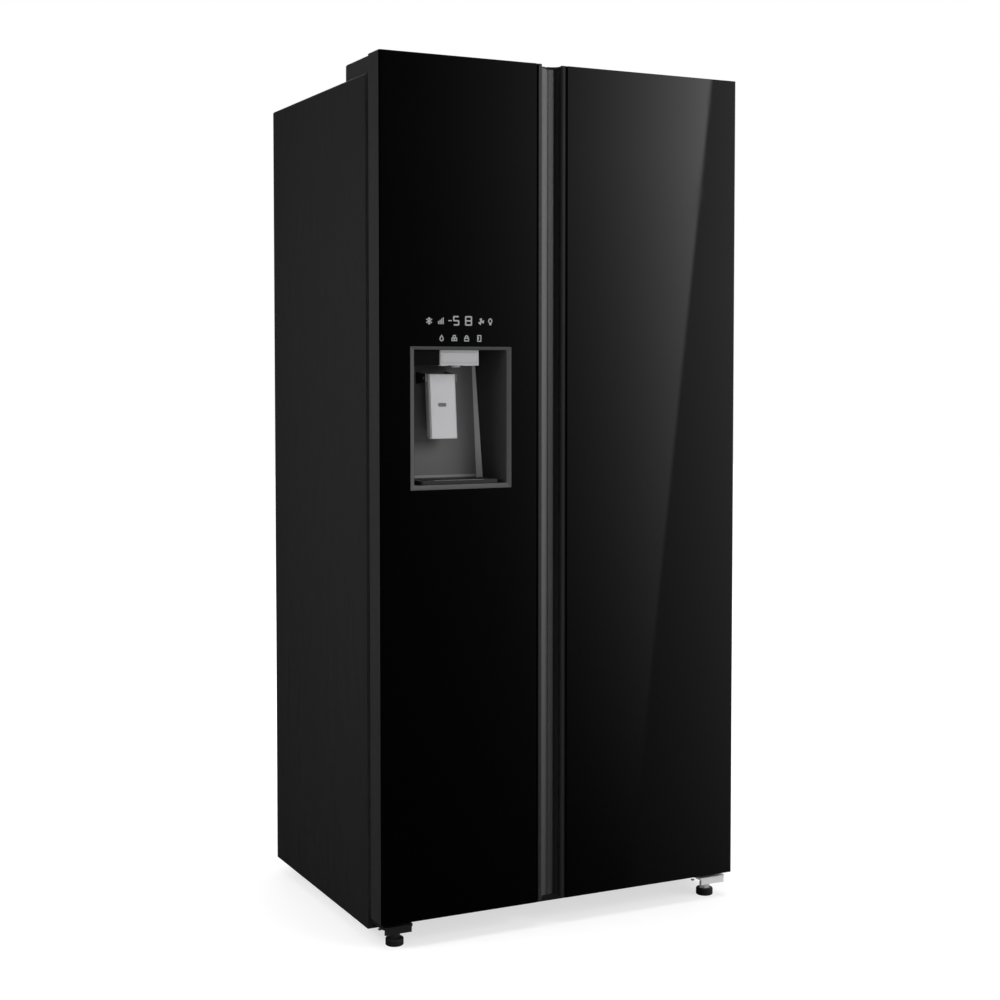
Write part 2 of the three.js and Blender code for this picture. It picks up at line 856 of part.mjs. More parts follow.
// The freezer's air panel: a plate with side returns, outlet slots and the fan's round mouth, in
// which three arms hold the motor.
function freezerAirPanel() {
  const x0 = freezerRoom.x0 + liner + fit;
  const x1 = freezerRoom.x1 - liner - fit;
  const y1 = rearY - liner - fit;
  const z0 = humpZ + liner + fit;
  const z1 = ceilingZ - liner - fit;
  const mid = (x0 + x1) / 2;
  const body = cut(block(x0, x1, airPanelY, y1, z0, z1), [
    block(
      x0 + airPanelSheet,
      x1 - airPanelSheet,
      airPanelY + airPanelSheet,
      y1 + 1,
      z0 + airPanelSheet,
      z1 - airPanelSheet,
    ),
  ]);
  const throat = freezerFanRadius + fanRunningGap;
  const cuts = [
    cylinder("y", airPanelY - 1, airPanelY + airPanelSheet + 1, throat, mid, freezerFanZ, 24),
  ];
  for (let row = 0; row < 5; row++) {
    const z = z0 + 290 + row * 160;
    for (const side of [-1, 0, 1]) {
      const x = mid + side * (airSlotWidth + 26);
      cuts.push(
        block(
          x - airSlotWidth / 2,
          x + airSlotWidth / 2,
          airPanelY - 1,
          airPanelY + airPanelSheet + 1,
          z,
          z + airSlotHeight,
        ),
      );
    }
  }
  const motor = cylinder("y", airPanelY, airPanelY + 16, 13, mid, freezerFanZ, 16);
  const arms = [0, 1, 2].map((i) => {
    const geometry = new THREE.BoxGeometry(6, airPanelSheet, throat - 4);
    geometry.translate(0, 0, (throat + 8) / 2);
    geometry.rotateY((i * 2 * Math.PI) / 3);
    geometry.translate(mid, airPanelY + airPanelSheet / 2, freezerFanZ);
    return solid(geometry);
  });
  return mesh("freezer_air_panel", join([cut(body, cuts), motor, ...arms]), whiteLiner);
}

function freezerFan() {
  const mid = (freezerRoom.x0 + freezerRoom.x1) / 2;
  const place = new THREE.Matrix4()
    .makeTranslation(mid, airPanelY + 16 + fit, freezerFanZ)
    .multiply(new THREE.Matrix4().makeRotationX(-Math.PI / 2));
  return mesh("freezer_fan", fanBody(freezerFanRadius, 14, 18, 5, place), blackPlastic);
}

// The finned block behind the air panel, as one comb with the tube's bends at both sides.
function evaporatorCoil() {
  const mid = (freezerRoom.x0 + freezerRoom.x1) / 2;
  const x0 = mid - evaporatorWidth / 2;
  const y1 = rearY - liner - fit;
  const y0 = y1 - evaporatorDepth;
  const z0 = humpZ + evaporatorRise;
  const z1 = z0 + evaporatorHeight;
  const fins = Math.floor(evaporatorWidth / finPitch);
  const comb = [[x0, y1]];
  for (let i = 0; i < fins; i++) {
    const x = x0 + i * finPitch;
    comb.push([x, y0], [x + finSheet, y0], [x + finSheet, y1 - 3], [x + finPitch, y1 - 3]);
  }
  comb.push([x0 + fins * finPitch, y1]);
  const bend = evaporatorDepth / 4;
  const bends = Array.from({ length: 5 }, (_, i) => {
    const z = z0 + ((i + 0.5) * (z1 - z0)) / 5;
    const y = (y0 + y1) / 2;
    return [
      cylinder("x", x0 - bend, x0 + finSheet, bend, y, z, 12),
      cylinder("x", x0 + fins * finPitch - finPitch, x0 + fins * finPitch + bend, bend, y, z, 12),
    ];
  });
  return mesh("evaporator_coil", join([prismZ(comb, z0, z1), ...bends.flat()]), galvanised);
}

// The fridge's air tower: a raised duct up the middle of the back wall, with outlets and a lamp
// window.
function fridgeAirTower() {
  const mid = (fridgeRoom.x0 + fridgeRoom.x1) / 2;
  const y1 = rearY - liner - fit;
  const y0 = y1 - towerDepth;
  const z0 = floorZ + liner + crisperCoverShelf + towerRise;
  const z1 = ceilingZ - liner - towerUnderCeiling;
  const half = towerWidth / 2;
  const body = prismZ(
    [
      [mid - half - 12, y1],
      [mid - half, y0 + 6],
      [mid - half + 8, y0],
      [mid + half - 8, y0],
      [mid + half, y0 + 6],
      [mid + half + 12, y1],
    ],
    z0,
    z1,
  );
  const outlets = Array.from({ length: 6 }, (_, row) => {
    const z = z0 + 70 + (row * (z1 - z0 - 140)) / 5;
    return block(mid - 30, mid + 30, y0 - 1, y0 + 12, z - 5, z + 5);
  });
  return mesh("fridge_air_tower", cut(body, outlets), whiteLiner);
}

function shelf(name, room, rise, backY) {
  const z = floorZ + liner + rise;
  const x0 = room.x0 + liner + shelfSideGap;
  const x1 = room.x1 - liner - shelfSideGap;
  const plate = prismZ(roundedRectangle(x0, x1, shelfY, backY, 6), z, z + shelfThickness);
  const edge = block(
    x0 + shelfEdge,
    x1 - shelfEdge,
    shelfY - shelfEdge / 2,
    shelfY + shelfEdge / 2,
    z - shelfEdgeDrop,
    z + shelfThickness,
  );
  return mesh(name, join([plate, edge]), clearGlass);
}

// An open box with a thicker front, whose upper edge is cut back for a hand.
function drawer(name, room, z0, height, y1, material) {
  const x0 = room.x0 + liner + drawerSideGap;
  const x1 = room.x1 - liner - drawerSideGap;
  const mid = (x0 + x1) / 2;
  const pull = (x1 - x0) * 0.3;
  const body = prismZ(roundedRectangle(x0, x1, drawerY, y1, 10), z0, z0 + height);
  const space = prismZ(
    roundedRectangle(x0 + drawerWall, x1 - drawerWall, drawerY + drawerFront, y1 - drawerWall, 7),
    z0 + drawerWall,
    z0 + height + 1,
  );
  const hand = prismY(
    [
      [mid - pull, z0 + height + 1],
      [mid - pull + 14, z0 + height - 22],
      [mid + pull - 14, z0 + height - 22],
      [mid + pull, z0 + height + 1],
    ],
    drawerY - 1,
    drawerY + drawerFront + 1,
  );
  const runners = [
    [x0 - runnerOut, x0 + drawerWall],
    [x1 - drawerWall, x1 + runnerOut],
  ].map(([a, b]) => block(a, b, drawerY + runnerFront, y1 - 12, z0, z0 + runnerHeight));
  return mesh(name, join([cut(body, [space, hand]), ...runners]), material);
}

function drawers() {
  const low = floorZ + liner + fit;
  const high = floorZ + liner + upperDrawerRise;
  const lowBack = humpY - liner - 8;
  return [
    drawer("freezer_drawer_lower", freezerRoom, low, lowerDrawerHeight, lowBack, clearPlastic),
    drawer("freezer_drawer_upper", freezerRoom, high, upperDrawerHeight, airPanelY - 10, clearPlastic),
    drawer("crisper_lower", fridgeRoom, low, lowerDrawerHeight, lowBack, clearPlastic),
    drawer("crisper_upper", fridgeRoom, high, upperDrawerHeight, rearY - liner - 12, clearPlastic),
  ];
}

// The ice maker hangs from the freezer's ceiling: a gear case in front of a tray of cells.
function iceMaker() {
  const mid = (freezerRoom.x0 + freezerRoom.x1) / 2;
  const x0 = mid - iceMakerWidth / 2;
  const x1 = mid + iceMakerWidth / 2;
  const z1 = ceilingZ - liner - fit;
  const z0 = z1 - iceMakerHeight;
  const y1 = airPanelY - 20;
  const y0 = y1 - iceMakerLength;
  const caseDepth = 46;
  const trayZ = z0 + 34;
  const gearCase = prismY(roundedRectangle(x0, x1, z0, z1, 10), y0, y0 + caseDepth);
  const tray = block(x0 + 8, x1 - 8, y0 + caseDepth - 1, y1, z0 + 6, trayZ);
  const rails = [x0, x1 - 6].map((x) => block(x, x + 6, y0 + caseDepth - 1, y1, trayZ - 10, z1));
  const bridge = [x0 + 5, x1 - 9].map((x) =>
    block(x, x + 4, y0 + caseDepth - 1, y1, trayZ - 10, trayZ),
  );
  const cells = [];
  const pitch = iceCell + iceWall;
  for (let row = 0; row < Math.floor((iceMakerLength - caseDepth - iceWall) / pitch); row++) {
    for (const side of [-1, 1]) {
      const x = mid + (side * pitch) / 2;
      const y = y0 + caseDepth + iceWall + row * pitch;
      cells.push(
        block(x - iceCell / 2, x + iceCell / 2, y, y + iceCell, z0 + 6 + iceWall, trayZ + 1),
      );
    }
  }
  return mesh("ice_maker", join([gearCase, cut(tray, cells), ...rails, ...bridge]), whiteLiner);
}

// The bucket under the ice maker, with its outlet low at the front.
function iceBucket() {
  const z0 = floorZ + liner + freezerUpperShelf + shelfThickness + fit;
  const x0 = freezerRoom.x0 + liner + drawerSideGap;
  const x1 = freezerRoom.x1 - liner - drawerSideGap;
  const mid = (x0 + x1) / 2;
  const y1 = airPanelY - 14;
  const y0 = shelfY + 6;
  const body = prismZ(roundedRectangle(x0, x1, y0, y1, 12), z0, z0 + bucketHeight);
  const slope = 40;
  const space = prismY(
    [
      [x0 + 4, z0 + bucketHeight + 1],
      [x0 + 4, z0 + 4 + slope],
      [x0 + 4 + slope, z0 + 4],
      [x1 - 4 - slope, z0 + 4],
      [x1 - 4, z0 + 4 + slope],
      [x1 - 4, z0 + bucketHeight + 1],
    ],
    y0 + 6,
    y1 - 4,
  );
  const outlet = block(mid - bucketOutlet / 2, mid + bucketOutlet / 2, y0 - 1, y0 + 7, z0 + 4, z0 + 66);
  return mesh("ice_bucket", cut(body, [space, outlet]), clearPlastic);
}

// ---------------------------------------------------------------------------------------------
// Doors
// ---------------------------------------------------------------------------------------------

// Each door is described by its hinged side and its free side. "out" points from the free side
// to the hinged side: -1 for the freezer door on the left, 1 for the fridge door on the right.
const freezerDoor = { out: -1, side: left, room: freezerRoom };
const fridgeDoor = { out: 1, side: right, room: fridgeRoom };

// A block on a door, between two distances from its hinged side and two depths from the glass.
function onDoor(door, in0, in1, d0, d1, z0, z1) {
  const a = door.side - door.out * in0;
  const b = door.side - door.out * in1;
  return block(Math.min(a, b), Math.max(a, b), front + d0, front + d1, z0, z1);
}

const doorWidth = (door) => Math.abs(split - door.side) - doorGap / 2;
const glassWidth = (door) => Math.abs(split - door.side) - gripWidth / 2 - gripNose;

// The space of the grip channel at a door's free side, grown by an offset: straight behind the
// nose, then a scoop with an elliptic section that runs to the channel's deepest line beside the
// gap to the other door.
function gripSpace(door, offset, z0, z1) {
  const edge = doorGap / 2;
  const widest = gripWidth / 2 + gripUndercut;
  const middle = gripDepth * 0.45;
  const across = widest - edge + offset;
  const deep = gripDepth - middle + offset;
  const start = -Math.PI / 7;
  const end = Math.acos(offset / across);
  const steps = 12;
  const arc = Array.from({ length: steps + 1 }, (_, i) => {
    const angle = start + (end - start) * (i / steps);
    return [edge + across * Math.cos(angle), middle + deep * Math.sin(angle)];
  });
  const path = [
    [-1, -1],
    [arc[0][0], -1],
    ...arc,
    [edge + offset, doorThickness + 1],
    [-1, doorThickness + 1],
  ];
  return prismZ(
    path.map(([u, v]) => [split + door.out * u, front + v]),
    z0,
    z1,
  );
}

function pinHole(door, radius) {
  const x = door.side - door.out * pinInset;
  const y = front + pinDepth;
  return [
    cylinder("z", doorBottom - 1, doorBottom + pinEngagement + 2, radius, x, y, 16),
    cylinder("z", doorTop - pinEngagement - 2, doorTop + 1, radius, x, y, 16),
  ];
}

// The pane, chamfered along the hinged side.
function doorGlass(name, door, holes) {
  const outline = [
    [0, glassChamfer],
    [glassChamfer, 0],
    [glassWidth(door), 0],
    [glassWidth(door), glass],
    [0, glass],
  ];
  const pane = prismZ(
    outline.map(([along, deep]) => [door.side - door.out * along, front + deep]),
    doorBottom,
    doorTop,
  );
  return mesh(name, cut(pane, holes), blackGlass);
}

// The side strip and both end caps.
function doorFrame(name, door) {
  const w = doorWidth(door);
  const d0 = glass + fit;
  const caps = [
    onDoor(door, 0, w, d0, doorThickness, doorBottom, doorBottom + doorSkin),
    onDoor(door, 0, w, d0, doorThickness, doorTop - doorSkin, doorTop),
  ].map((cap) => cap.subtract(gripSpace(door, 0, doorBottom - 1, doorTop + 1)));
  const strip = onDoor(door, 0, doorSkin, d0, doorThickness, doorBottom, doorTop);
  return mesh(name, cut(join([strip, ...caps]), pinHole(door, pinRadius + 2 * fit)), darkTrim);
}

// The profile that lines the grip channel: a bent sheet, and the nose beside the glass, with its
// shadow groove and the rounded edge where a finger takes hold.
function gripTrim(name, door) {
  const z0 = doorBottom + doorSkin + fit;
  const z1 = doorTop - doorSkin - fit;
  const slab = onDoor(door, 0, doorWidth(door), glass - fit, doorThickness, z0, z1);
  const band = gripSpace(door, gripSheet, z0, z1).intersect(slab);
  const sheet = band.subtract(gripSpace(door, 0, z0 - 1, z1 + 1));
  const lip = gripWidth / 2;
  const far = lip + gripNose - fit;
  const rim = lip + gripNose - noseGroove;
  const steps = 4;
  const edge = Array.from({ length: steps + 1 }, (_, i) => {
    const angle = (Math.PI / 2) * (i / steps);
    return [
      lip + noseRound * (1 - Math.sin(angle)),
      noseRise + noseRound * (1 - Math.cos(angle)),
    ];
  });
  const section = [
    [far, noseBase],
    [rim, noseBase],
    [rim, noseRise + 0.4],
    [rim - 0.4, noseRise],
    ...edge,
    [lip, glass],
    [far, glass],
  ];
  const nose = prismZ(
    section.map(([u, v]) => [split + door.out * u, front + v]),
    doorBottom,
    doorTop,
  );
  return mesh(name, join([sheet, nose]), satinGrip);
}

// The two upright ridges that stand into the compartment beside the bins.
function dykes(door, grow) {
  const { room } = door;
  const z0 = floorZ + dykeEndInset - grow;
  const z1 = ceilingZ - dykeEndInset + grow;
  return [room.x0 + dykeInset, room.x1 - dykeInset - dykeWidth].map((x) =>
    block(
      x - grow,
      x + dykeWidth + grow,
      doorBack - linerSheet - 1,
      doorBack + dykeDepth - linerSheet + grow,
      z0,
      z1,
    ),
  );
}

// The foam core, with the dispenser's bulge where there is one.
function doorCore(name, door, bulges, holes) {
  const z0 = doorBottom + doorSkin + fit;
  const z1 = doorTop - doorSkin - fit;
  const inner = doorSkin + fit;
  const slab = onDoor(
    door,
    inner,
    doorWidth(door),
    glass + fit,
    doorThickness - linerSheet - fit,
    z0,
    z1,
  );
  const body = join([slab, ...dykes(door, -fit), ...bulges]);
  return mesh(
    name,
    cut(body, [
      gripSpace(door, gripSheet + fit, z0 - 1, z1 + 1),
      ...pinHole(door, pinRadius + 4),
      ...holes,
    ]),
    foam,
  );
}

// The inner liner: a flat flange, hollow ridges, and a hollow bulge over the dispenser.
function doorLiner(name, door, bulges, hollows) {
  const z0 = doorBottom + doorSkin + fit;
  const z1 = doorTop - doorSkin - fit;
  const flange = onDoor(
    door,
    doorSkin + fit,
    doorWidth(door) - gripSheet - fit,
    doorThickness - linerSheet,
    doorThickness,
    z0,
    z1,
  );
  const body = join([flange, ...dykes(door, linerSheet), ...bulges]);
  const behind = block(left - 1, right + 1, front, doorBack - linerSheet, z0 - 1, z1 + 1);
  return mesh(name, cut(body, [behind, ...dykes(door, 0), ...hollows]), whiteLiner);
}

// The soft seal: a foot on the door, a narrow fold and the magnet strip at the cabinet.
function doorSeal(name, door) {
  const outer = {
    in0: sealSideInset,
    in1: doorWidth(door) - sealSplitInset,
    z0: doorBottom + sealBottomInset,
    z1: cabinetTop - sealTopInset,
  };
  const ring = (inset, width0, d0, d1) =>
    cut(
      onDoor(door, outer.in0 + inset, outer.in1 - inset, d0, d1, outer.z0 + inset, outer.z1 - inset),
      [
        onDoor(
          door,
          outer.in0 + inset + width0,
          outer.in1 - inset - width0,
          d0 - 1,
          d1 + 1,
          outer.z0 + inset + width0,
          outer.z1 - inset - width0,
        ),
      ],
    );
  const d0 = doorThickness + fit;
  const d1 = doorThickness + sealGap - fit;
  return mesh(
    name,
    join([
      ring(0, sealWidth, d0, d0 + 4),
      ring(4, sealWidth - 8, d0 + 3, d1 - 4),
      ring(0, sealWidth, d1 - 5, d1),
    ]),
    rubber,
  );
}

// An open bin between the two ridges, lower at the front, on two side lugs.
// A rectangle with its two rearmost corners rounded.
function frontRounded(x0, x1, y0, y1, radius) {
  const steps = 4;
  const corner = (x, from) =>
    Array.from({ length: steps + 1 }, (_, i) => {
      const angle = from + (Math.PI / 2) * (i / steps);
      return [x + radius * Math.cos(angle), y1 - radius + radius * Math.sin(angle)];
    });
  return [
    [x0, y0],
    [x1, y0],
    ...corner(x1 - radius, 0),
    ...corner(x0 + radius, Math.PI / 2),
  ];
}

function doorBin(name, door, rise) {
  const { room } = door;
  const x0 = room.x0 + dykeInset + dykeWidth + linerSheet + fit;
  const x1 = room.x1 - dykeInset - dykeWidth - linerSheet - fit;
  const y0 = doorBack + fit;
  const z0 = doorBottom + rise;
  const body = prismX(
    [
      [y0, z0],
      [binBack - 14, z0],
      [binBack - 4, z0 + 10],
      [binBack, z0 + binLipHeight],
      [binBack - 12, z0 + binLipHeight],
      [y0 + 26, z0 + binHeight],
      [y0, z0 + binHeight],
    ],
    x0,
    x1,
  );
  const space = prismX(
    [
      [y0 + binWall, z0 + binWall],
      [binBack - 14 - binWall, z0 + binWall],
      [binBack - 4 - binWall, z0 + 11],
      [binBack - binWall, z0 + binLipHeight + 1],
      [binBack - binWall, z0 + binHeight + 1],
      [y0 + binWall, z0 + binHeight + 1],
    ],
    x0 + binWall,
    x1 - binWall,
  );
  const plan = (inset) =>
    prismZ(
      frontRounded(x0 + inset, x1 - inset, y0 - 1, binBack - inset, binCorner - inset),
      z0 - 1,
      z0 + binHeight + 2,
    );
  return mesh(
    name,
    cut(body.intersect(plan(0)), [space.intersect(plan(binWall))]),
    clearPlastic,
  );
}

// ---------------------------------------------------------------------------------------------
// Dispenser
// ---------------------------------------------------------------------------------------------

const bezel = {
  x0: left + bezelLeft,
  x1: left + bezelLeft + bezelWidth,
  z0: doorBottom + bezelBottom,
  z1: doorBottom + bezelBottom + bezelHeight,
};
const mouth = {
  x0: bezel.x0 + bezelBorder,
  x1: bezel.x1 - bezelBorder,
  z0: bezel.z0 + bezelBorder,
  z1: bezel.z1 - bezelTopBorder,
};

// The recess's inside, grown by an offset: its side walls close in with depth, and its back wall
// leans away towards the top. It starts at the given depth behind the glass face.
function recessSpace(grow, startDepth) {
  const z0 = mouth.z0 - grow;
  const z1 = mouth.z1 + grow;
  const low = recessDepthBottom + grow;
  const high = recessDepthTop + grow;
  const x0 = (d) => mouth.x0 - grow + recessDraft * d;
  const x1 = (d) => mouth.x1 + grow - recessDraft * d;
  const s = startDepth;
  return wedge([
    [x0(s), front + s, z0],
    [x1(s), front + s, z0],
    [x1(low), front + low, z0],
    [x0(low), front + low, z0],
    [x0(s), front + s, z1],
    [x1(s), front + s, z1],
    [x1(high), front + high, z1],
    [x0(high), front + high, z1],
  ]);
}

// Depth of the recess's back wall at a height.
function recessBack(z) {
  const share = (z - mouth.z0) / (mouth.z1 - mouth.z0);
  return recessDepthBottom + share * (recessDepthTop - recessDepthBottom);
}

// The chamfers between the recess's back wall and its side walls, wider towards the floor.
function corners() {
  const wall = 1; // how far they reach into the walls
  const ends = [
    [mouth.z0, recessDepthBottom, cornerBottom],
    [mouth.z1, recessDepthTop, cornerTop],
  ];
  return [
    [mouth.x0, 1],
    [mouth.x1, -1],
  ].map(([edge, inward]) => {
    const ring = ([z, depth, size]) => {
      const x = (d) => edge + inward * recessDraft * d;
      return [
        [x(depth - size), front + depth - size, z],
        [x(depth) + inward * size, front + depth, z],
        [x(depth) + inward * size, front + depth + wall, z],
        [x(depth) - inward * wall, front + depth + wall, z],
        [x(depth - size) - inward * wall, front + depth - size, z],
      ];
    };
    return hull([...ring(ends[0]), ...ring(ends[1])]);
  });
}

function dispenserBezel() {
  const outside = roundedRectangle(
    bezel.x0 + fit,
    bezel.x1 - fit,
    bezel.z0 + fit,
    bezel.z1 - fit,
    3,
  );
  const inside = roundedRectangle(mouth.x0, mouth.x1, mouth.z0, mouth.z1, 2);
  const ring = prismY(outside, front, front + glass);
  const space = prismY(inside, front - 1, front + glass + 1);
  return mesh("dispenser_bezel", cut(ring, [space]), greyTrim);
}

const paddlePivot = {
  y: front + paddleFront + 24,
  z: doorBottom + paddleBottom + paddleHeight - 8,
};
const paddleX0 = left + paddleLeft;
const paddleX1 = paddleX0 + paddleWidth;

function dispenserRecess() {
  const d0 = glass + fit;
  const rim = block(
    bezel.x0 - recessFlange,
    bezel.x1 + recessFlange,
    front + d0,
    front + d0 + recessSheet,
    bezel.z0 - recessFlange,
    bezel.z1 + recessFlange,
  );
  const shell = join([recessSpace(recessSheet, d0), rim]).subtract(recessSpace(0, d0 - 1));
  const ears = [paddleX0 - fit - paddleEar, paddleX1 + fit].map((x) => {
    const ear = prismX(
      [
        [paddlePivot.y - 8, paddlePivot.z - 8],
        [paddlePivot.y - 8, paddlePivot.z + 8],
        [front + recessBack(paddlePivot.z) + 1, paddlePivot.z + 12],
        [front + recessBack(paddlePivot.z) + 1, paddlePivot.z - 12],
      ],
      x,
      x + paddleEar,
    );
    return cut(ear, [
      cylinder("x", x - 1, x + paddleEar + 1, paddlePinRadius + fit, paddlePivot.y, paddlePivot.z, 16),
    ]);
  });
  // The ice chute's cover beside the nozzle housing, flush with it.
  const cover = recessSpace(1, d0)
    .intersect(
      block(
        mouth.x0 - 2,
        left + nozzleLeft - fit,
        front + nozzleFront,
        front + recessDepthTop + 2,
        mouth.z1 - nozzleHeight - fit,
        mouth.z1 + 1,
      ),
    );
  return mesh("dispenser_recess", join([shell, cover, ...corners(), ...ears]), blackPlastic);
}

// The housing over the lever, with the water spout below it.
function nozzleHousing() {
  const x0 = left + nozzleLeft;
  const x1 = x0 + nozzleWidth;
  const z1 = mouth.z1 - fit;
  const z0 = z1 - nozzleHeight;
  const y0 = front + nozzleFront;
  const box = prismZ(roundedRectangle(x0, x1, y0, y0 + nozzleDepth, 4), z0, z1);
  const mid = (x0 + x1) / 2;
  const spout = turned(
    [
      [0, z0 + 2],
      [spoutRadius, z0 + 2],
      [spoutRadius, z0 - spoutLength * 0.6],
      [spoutRadius * 0.8, z0 - spoutLength],
      [spoutRadius * 0.5, z0 - spoutLength],
      [spoutRadius * 0.5, z0 - 1],
      [0, z0 - 1],
    ].reverse(),
    mid,
    y0 + 18,
    16,
  );
  return mesh("nozzle_housing", join([box, spout]), silver);
}

// The lever: a leaning plate with rounded edges on two lugs, and the pin that it turns on.
function paddle() {
  const z0 = doorBottom + paddleBottom;
  const z1 = z0 + paddleHeight;
  const lean = (recessDepthTop - recessDepthBottom) / (mouth.z1 - mouth.z0);
  const t = paddleThickness;
  const bevel = 3;
  // Height of each section, how far its front falls back, and how thick it is.
  const sections = [
    [z0, 1.2, t - 5],
    [z0 + 1.5, 0, t - 3],
    [z0 + 6, 0, t],
    [z1 - 5, 0, t],
    [z1 - 1.5, 0, t - 3],
    [z1, 1.2, t - 5],
  ];
  const points = sections.flatMap(([z, back, thick]) => {
    const y = front + paddleFront + lean * (z - z0);
    return [
      [paddleX0 + bevel, y + back, z],
      [paddleX1 - bevel, y + back, z],
      [paddleX1, y + back + bevel, z],
      [paddleX1, y + thick, z],
      [paddleX0, y + thick, z],
      [paddleX0, y + back + bevel, z],
    ];
  });
  const pin = cylinder(
    "x",
    paddleX0 - fit - paddleEar,
    paddleX1 + fit + paddleEar,
    paddlePinRadius,
    paddlePivot.y,
    paddlePivot.z,
    16,
  );
  return mesh("dispenser_paddle", join([hull(points), pin]), silver);
}

// The lift-out tray on the recess's floor, with a slotted top.
function dripTray() {
  const d0 = glass + 3;
  const d1 = d0 + trayDepth;
  const x0 = mouth.x0 + recessDraft * d1 + 2;
  const x1 = mouth.x1 - recessDraft * d1 - 2;
  const z0 = mouth.z0 + fit;
  const slots = Array.from({ length: 9 }, (_, i) => {
    const x = x0 + ((i + 1) * (x1 - x0)) / 10;
    return block(x - 3, x + 3, front + d0 + 10, front + d1 - 10, z0 + 3, z0 + trayHeight + 1);
  });
  const tray = prismZ(roundedRectangle(x0, x1, front + d0, front + d1, 5), z0, z0 + trayHeight);
  return mesh("drip_tray", cut(tray, slots), greyTrim);
}

const displayBox = {
  x0: left + displayLeft,
  x1: left + displayLeft + displayWidth,
  z0: bezel.z1 + recessFlange + 2 * fit,
  z1: bezel.z1 + recessFlange + 2 * fit + displayHeight,
};

function displayModule() {
  const { x0, x1, z0, z1 } = displayBox;
  const y0 = front + glass + fit;
  const tray = prismY(roundedRectangle(x0, x1, z0, z1, 3), y0, y0 + displayThickness);
  return mesh("display_module", tray, blackPlastic);
}

function displayPocket() {
  const { x0, x1, z0, z1 } = displayBox;
  const g = fit;
  return block(x0 - g, x1 + g, front, front + glass + fit + displayThickness + g, z0 - g, z1 + g);
}

// ---------------------------------------------------------------------------------------------
// Door assemblies
// ---------------------------------------------------------------------------------------------

function freezerDoorParts() {
  const door = freezerDoor;
  const d0 = glass + fit;
  const start = doorThickness - linerSheet - 1;
  const rimPocket = block(
    bezel.x0 - recessFlange - fit,
    bezel.x1 + recessFlange + fit,
    front,
    front + d0 + recessSheet + fit,
    bezel.z0 - recessFlange - fit,
    bezel.z1 + recessFlange + fit,
  );
  const thick = recessSheet + fit + recessInsulation;
  const opening = block(bezel.x0, bezel.x1, front - 1, front + glass + 1, bezel.z0, bezel.z1);
  const behindGlass = recessSpace(recessSheet + fit, d0 - 1);
  return [
    doorGlass("freezer_door_glass", door, [opening]),
    doorFrame("freezer_door_frame", door),
    gripTrim("freezer_door_grip", door),
    doorCore("freezer_door_core", door, [recessSpace(thick, start)], [
      behindGlass,
      rimPocket,
      displayPocket(),
    ]),
    doorLiner(
      "freezer_door_liner",
      door,
      [recessSpace(thick + fit + linerSheet, start)],
      [recessSpace(thick + fit, start - 1)],
    ),
    doorSeal("freezer_door_seal", door),
    dispenserBezel(),
    dispenserRecess(),
    nozzleHousing(),
    displayModule(),
    ...freezerBins.map((rise, i) => doorBin(`freezer_door_bin_${i + 1}`, door, rise)),
  ];
}

function fridgeDoorParts() {
  const door = fridgeDoor;
  return [
    doorGlass("fridge_door_glass", door, []),
    doorFrame("fridge_door_frame", door),
    gripTrim("fridge_door_grip", door),
    doorCore("fridge_door_core", door, [], []),
    doorLiner("fridge_door_liner", door, [], []),
    doorSeal("fridge_door_seal", door),
    ...fridgeBins.map((rise, i) => doorBin(`fridge_door_bin_${i + 1}`, door, rise)),
  ];
}

// ---------------------------------------------------------------------------------------------
// Hinges, feet and rollers
// ---------------------------------------------------------------------------------------------

// The upper hinge: a foot on the cabinet's top, a riser behind the door, and an arm over the
// door's top with the pin that stands down into it.
function upperHinge(name, out) {
  const side = out < 0 ? left : right;
  const at = (inset) => side - out * inset;
  const wide = [hingeCoverInset + 6, hingeCoverInset + hingeCoverWidth - 12];
  const arm = [pinInset - 12, pinInset + 26];
  const [x0, x1] = wide.map(at).sort((a, b) => a - b);
  const riserY = cabinetFront + 4;
  const mouthY = cabinetFront - hingeCoverOverhang - 1;
  const pinY = front + pinDepth;
  const footZ = cabinetTop + fit;
  const armZ = doorTop + 2 * fit;
  const foot = block(x0, x1, riserY, riserY + hingeFoot, footZ, footZ + hingeSheet);
  const riser = block(x0, x1, riserY, riserY + hingeSheet, footZ, armZ + hingeSheet);
  const over = prismZ(
    [
      [wide[0], riserY + hingeSheet],
      [wide[0], mouthY],
      [arm[0], pinY - 4],
      [arm[0] + 8, pinY - 12],
      [arm[1] - 8, pinY - 12],
      [arm[1], pinY - 4],
      [wide[1], mouthY],
      [wide[1], riserY + hingeSheet],
    ].map(([inset, y]) => [at(inset), y]),
    armZ,
    armZ + hingeSheet,
  );
  const pin = cylinder("z", doorTop - pinEngagement, armZ + 1, pinRadius, at(pinInset), pinY, 16);
  return mesh(name, join([foot, riser, over, pin]), zinc);
}

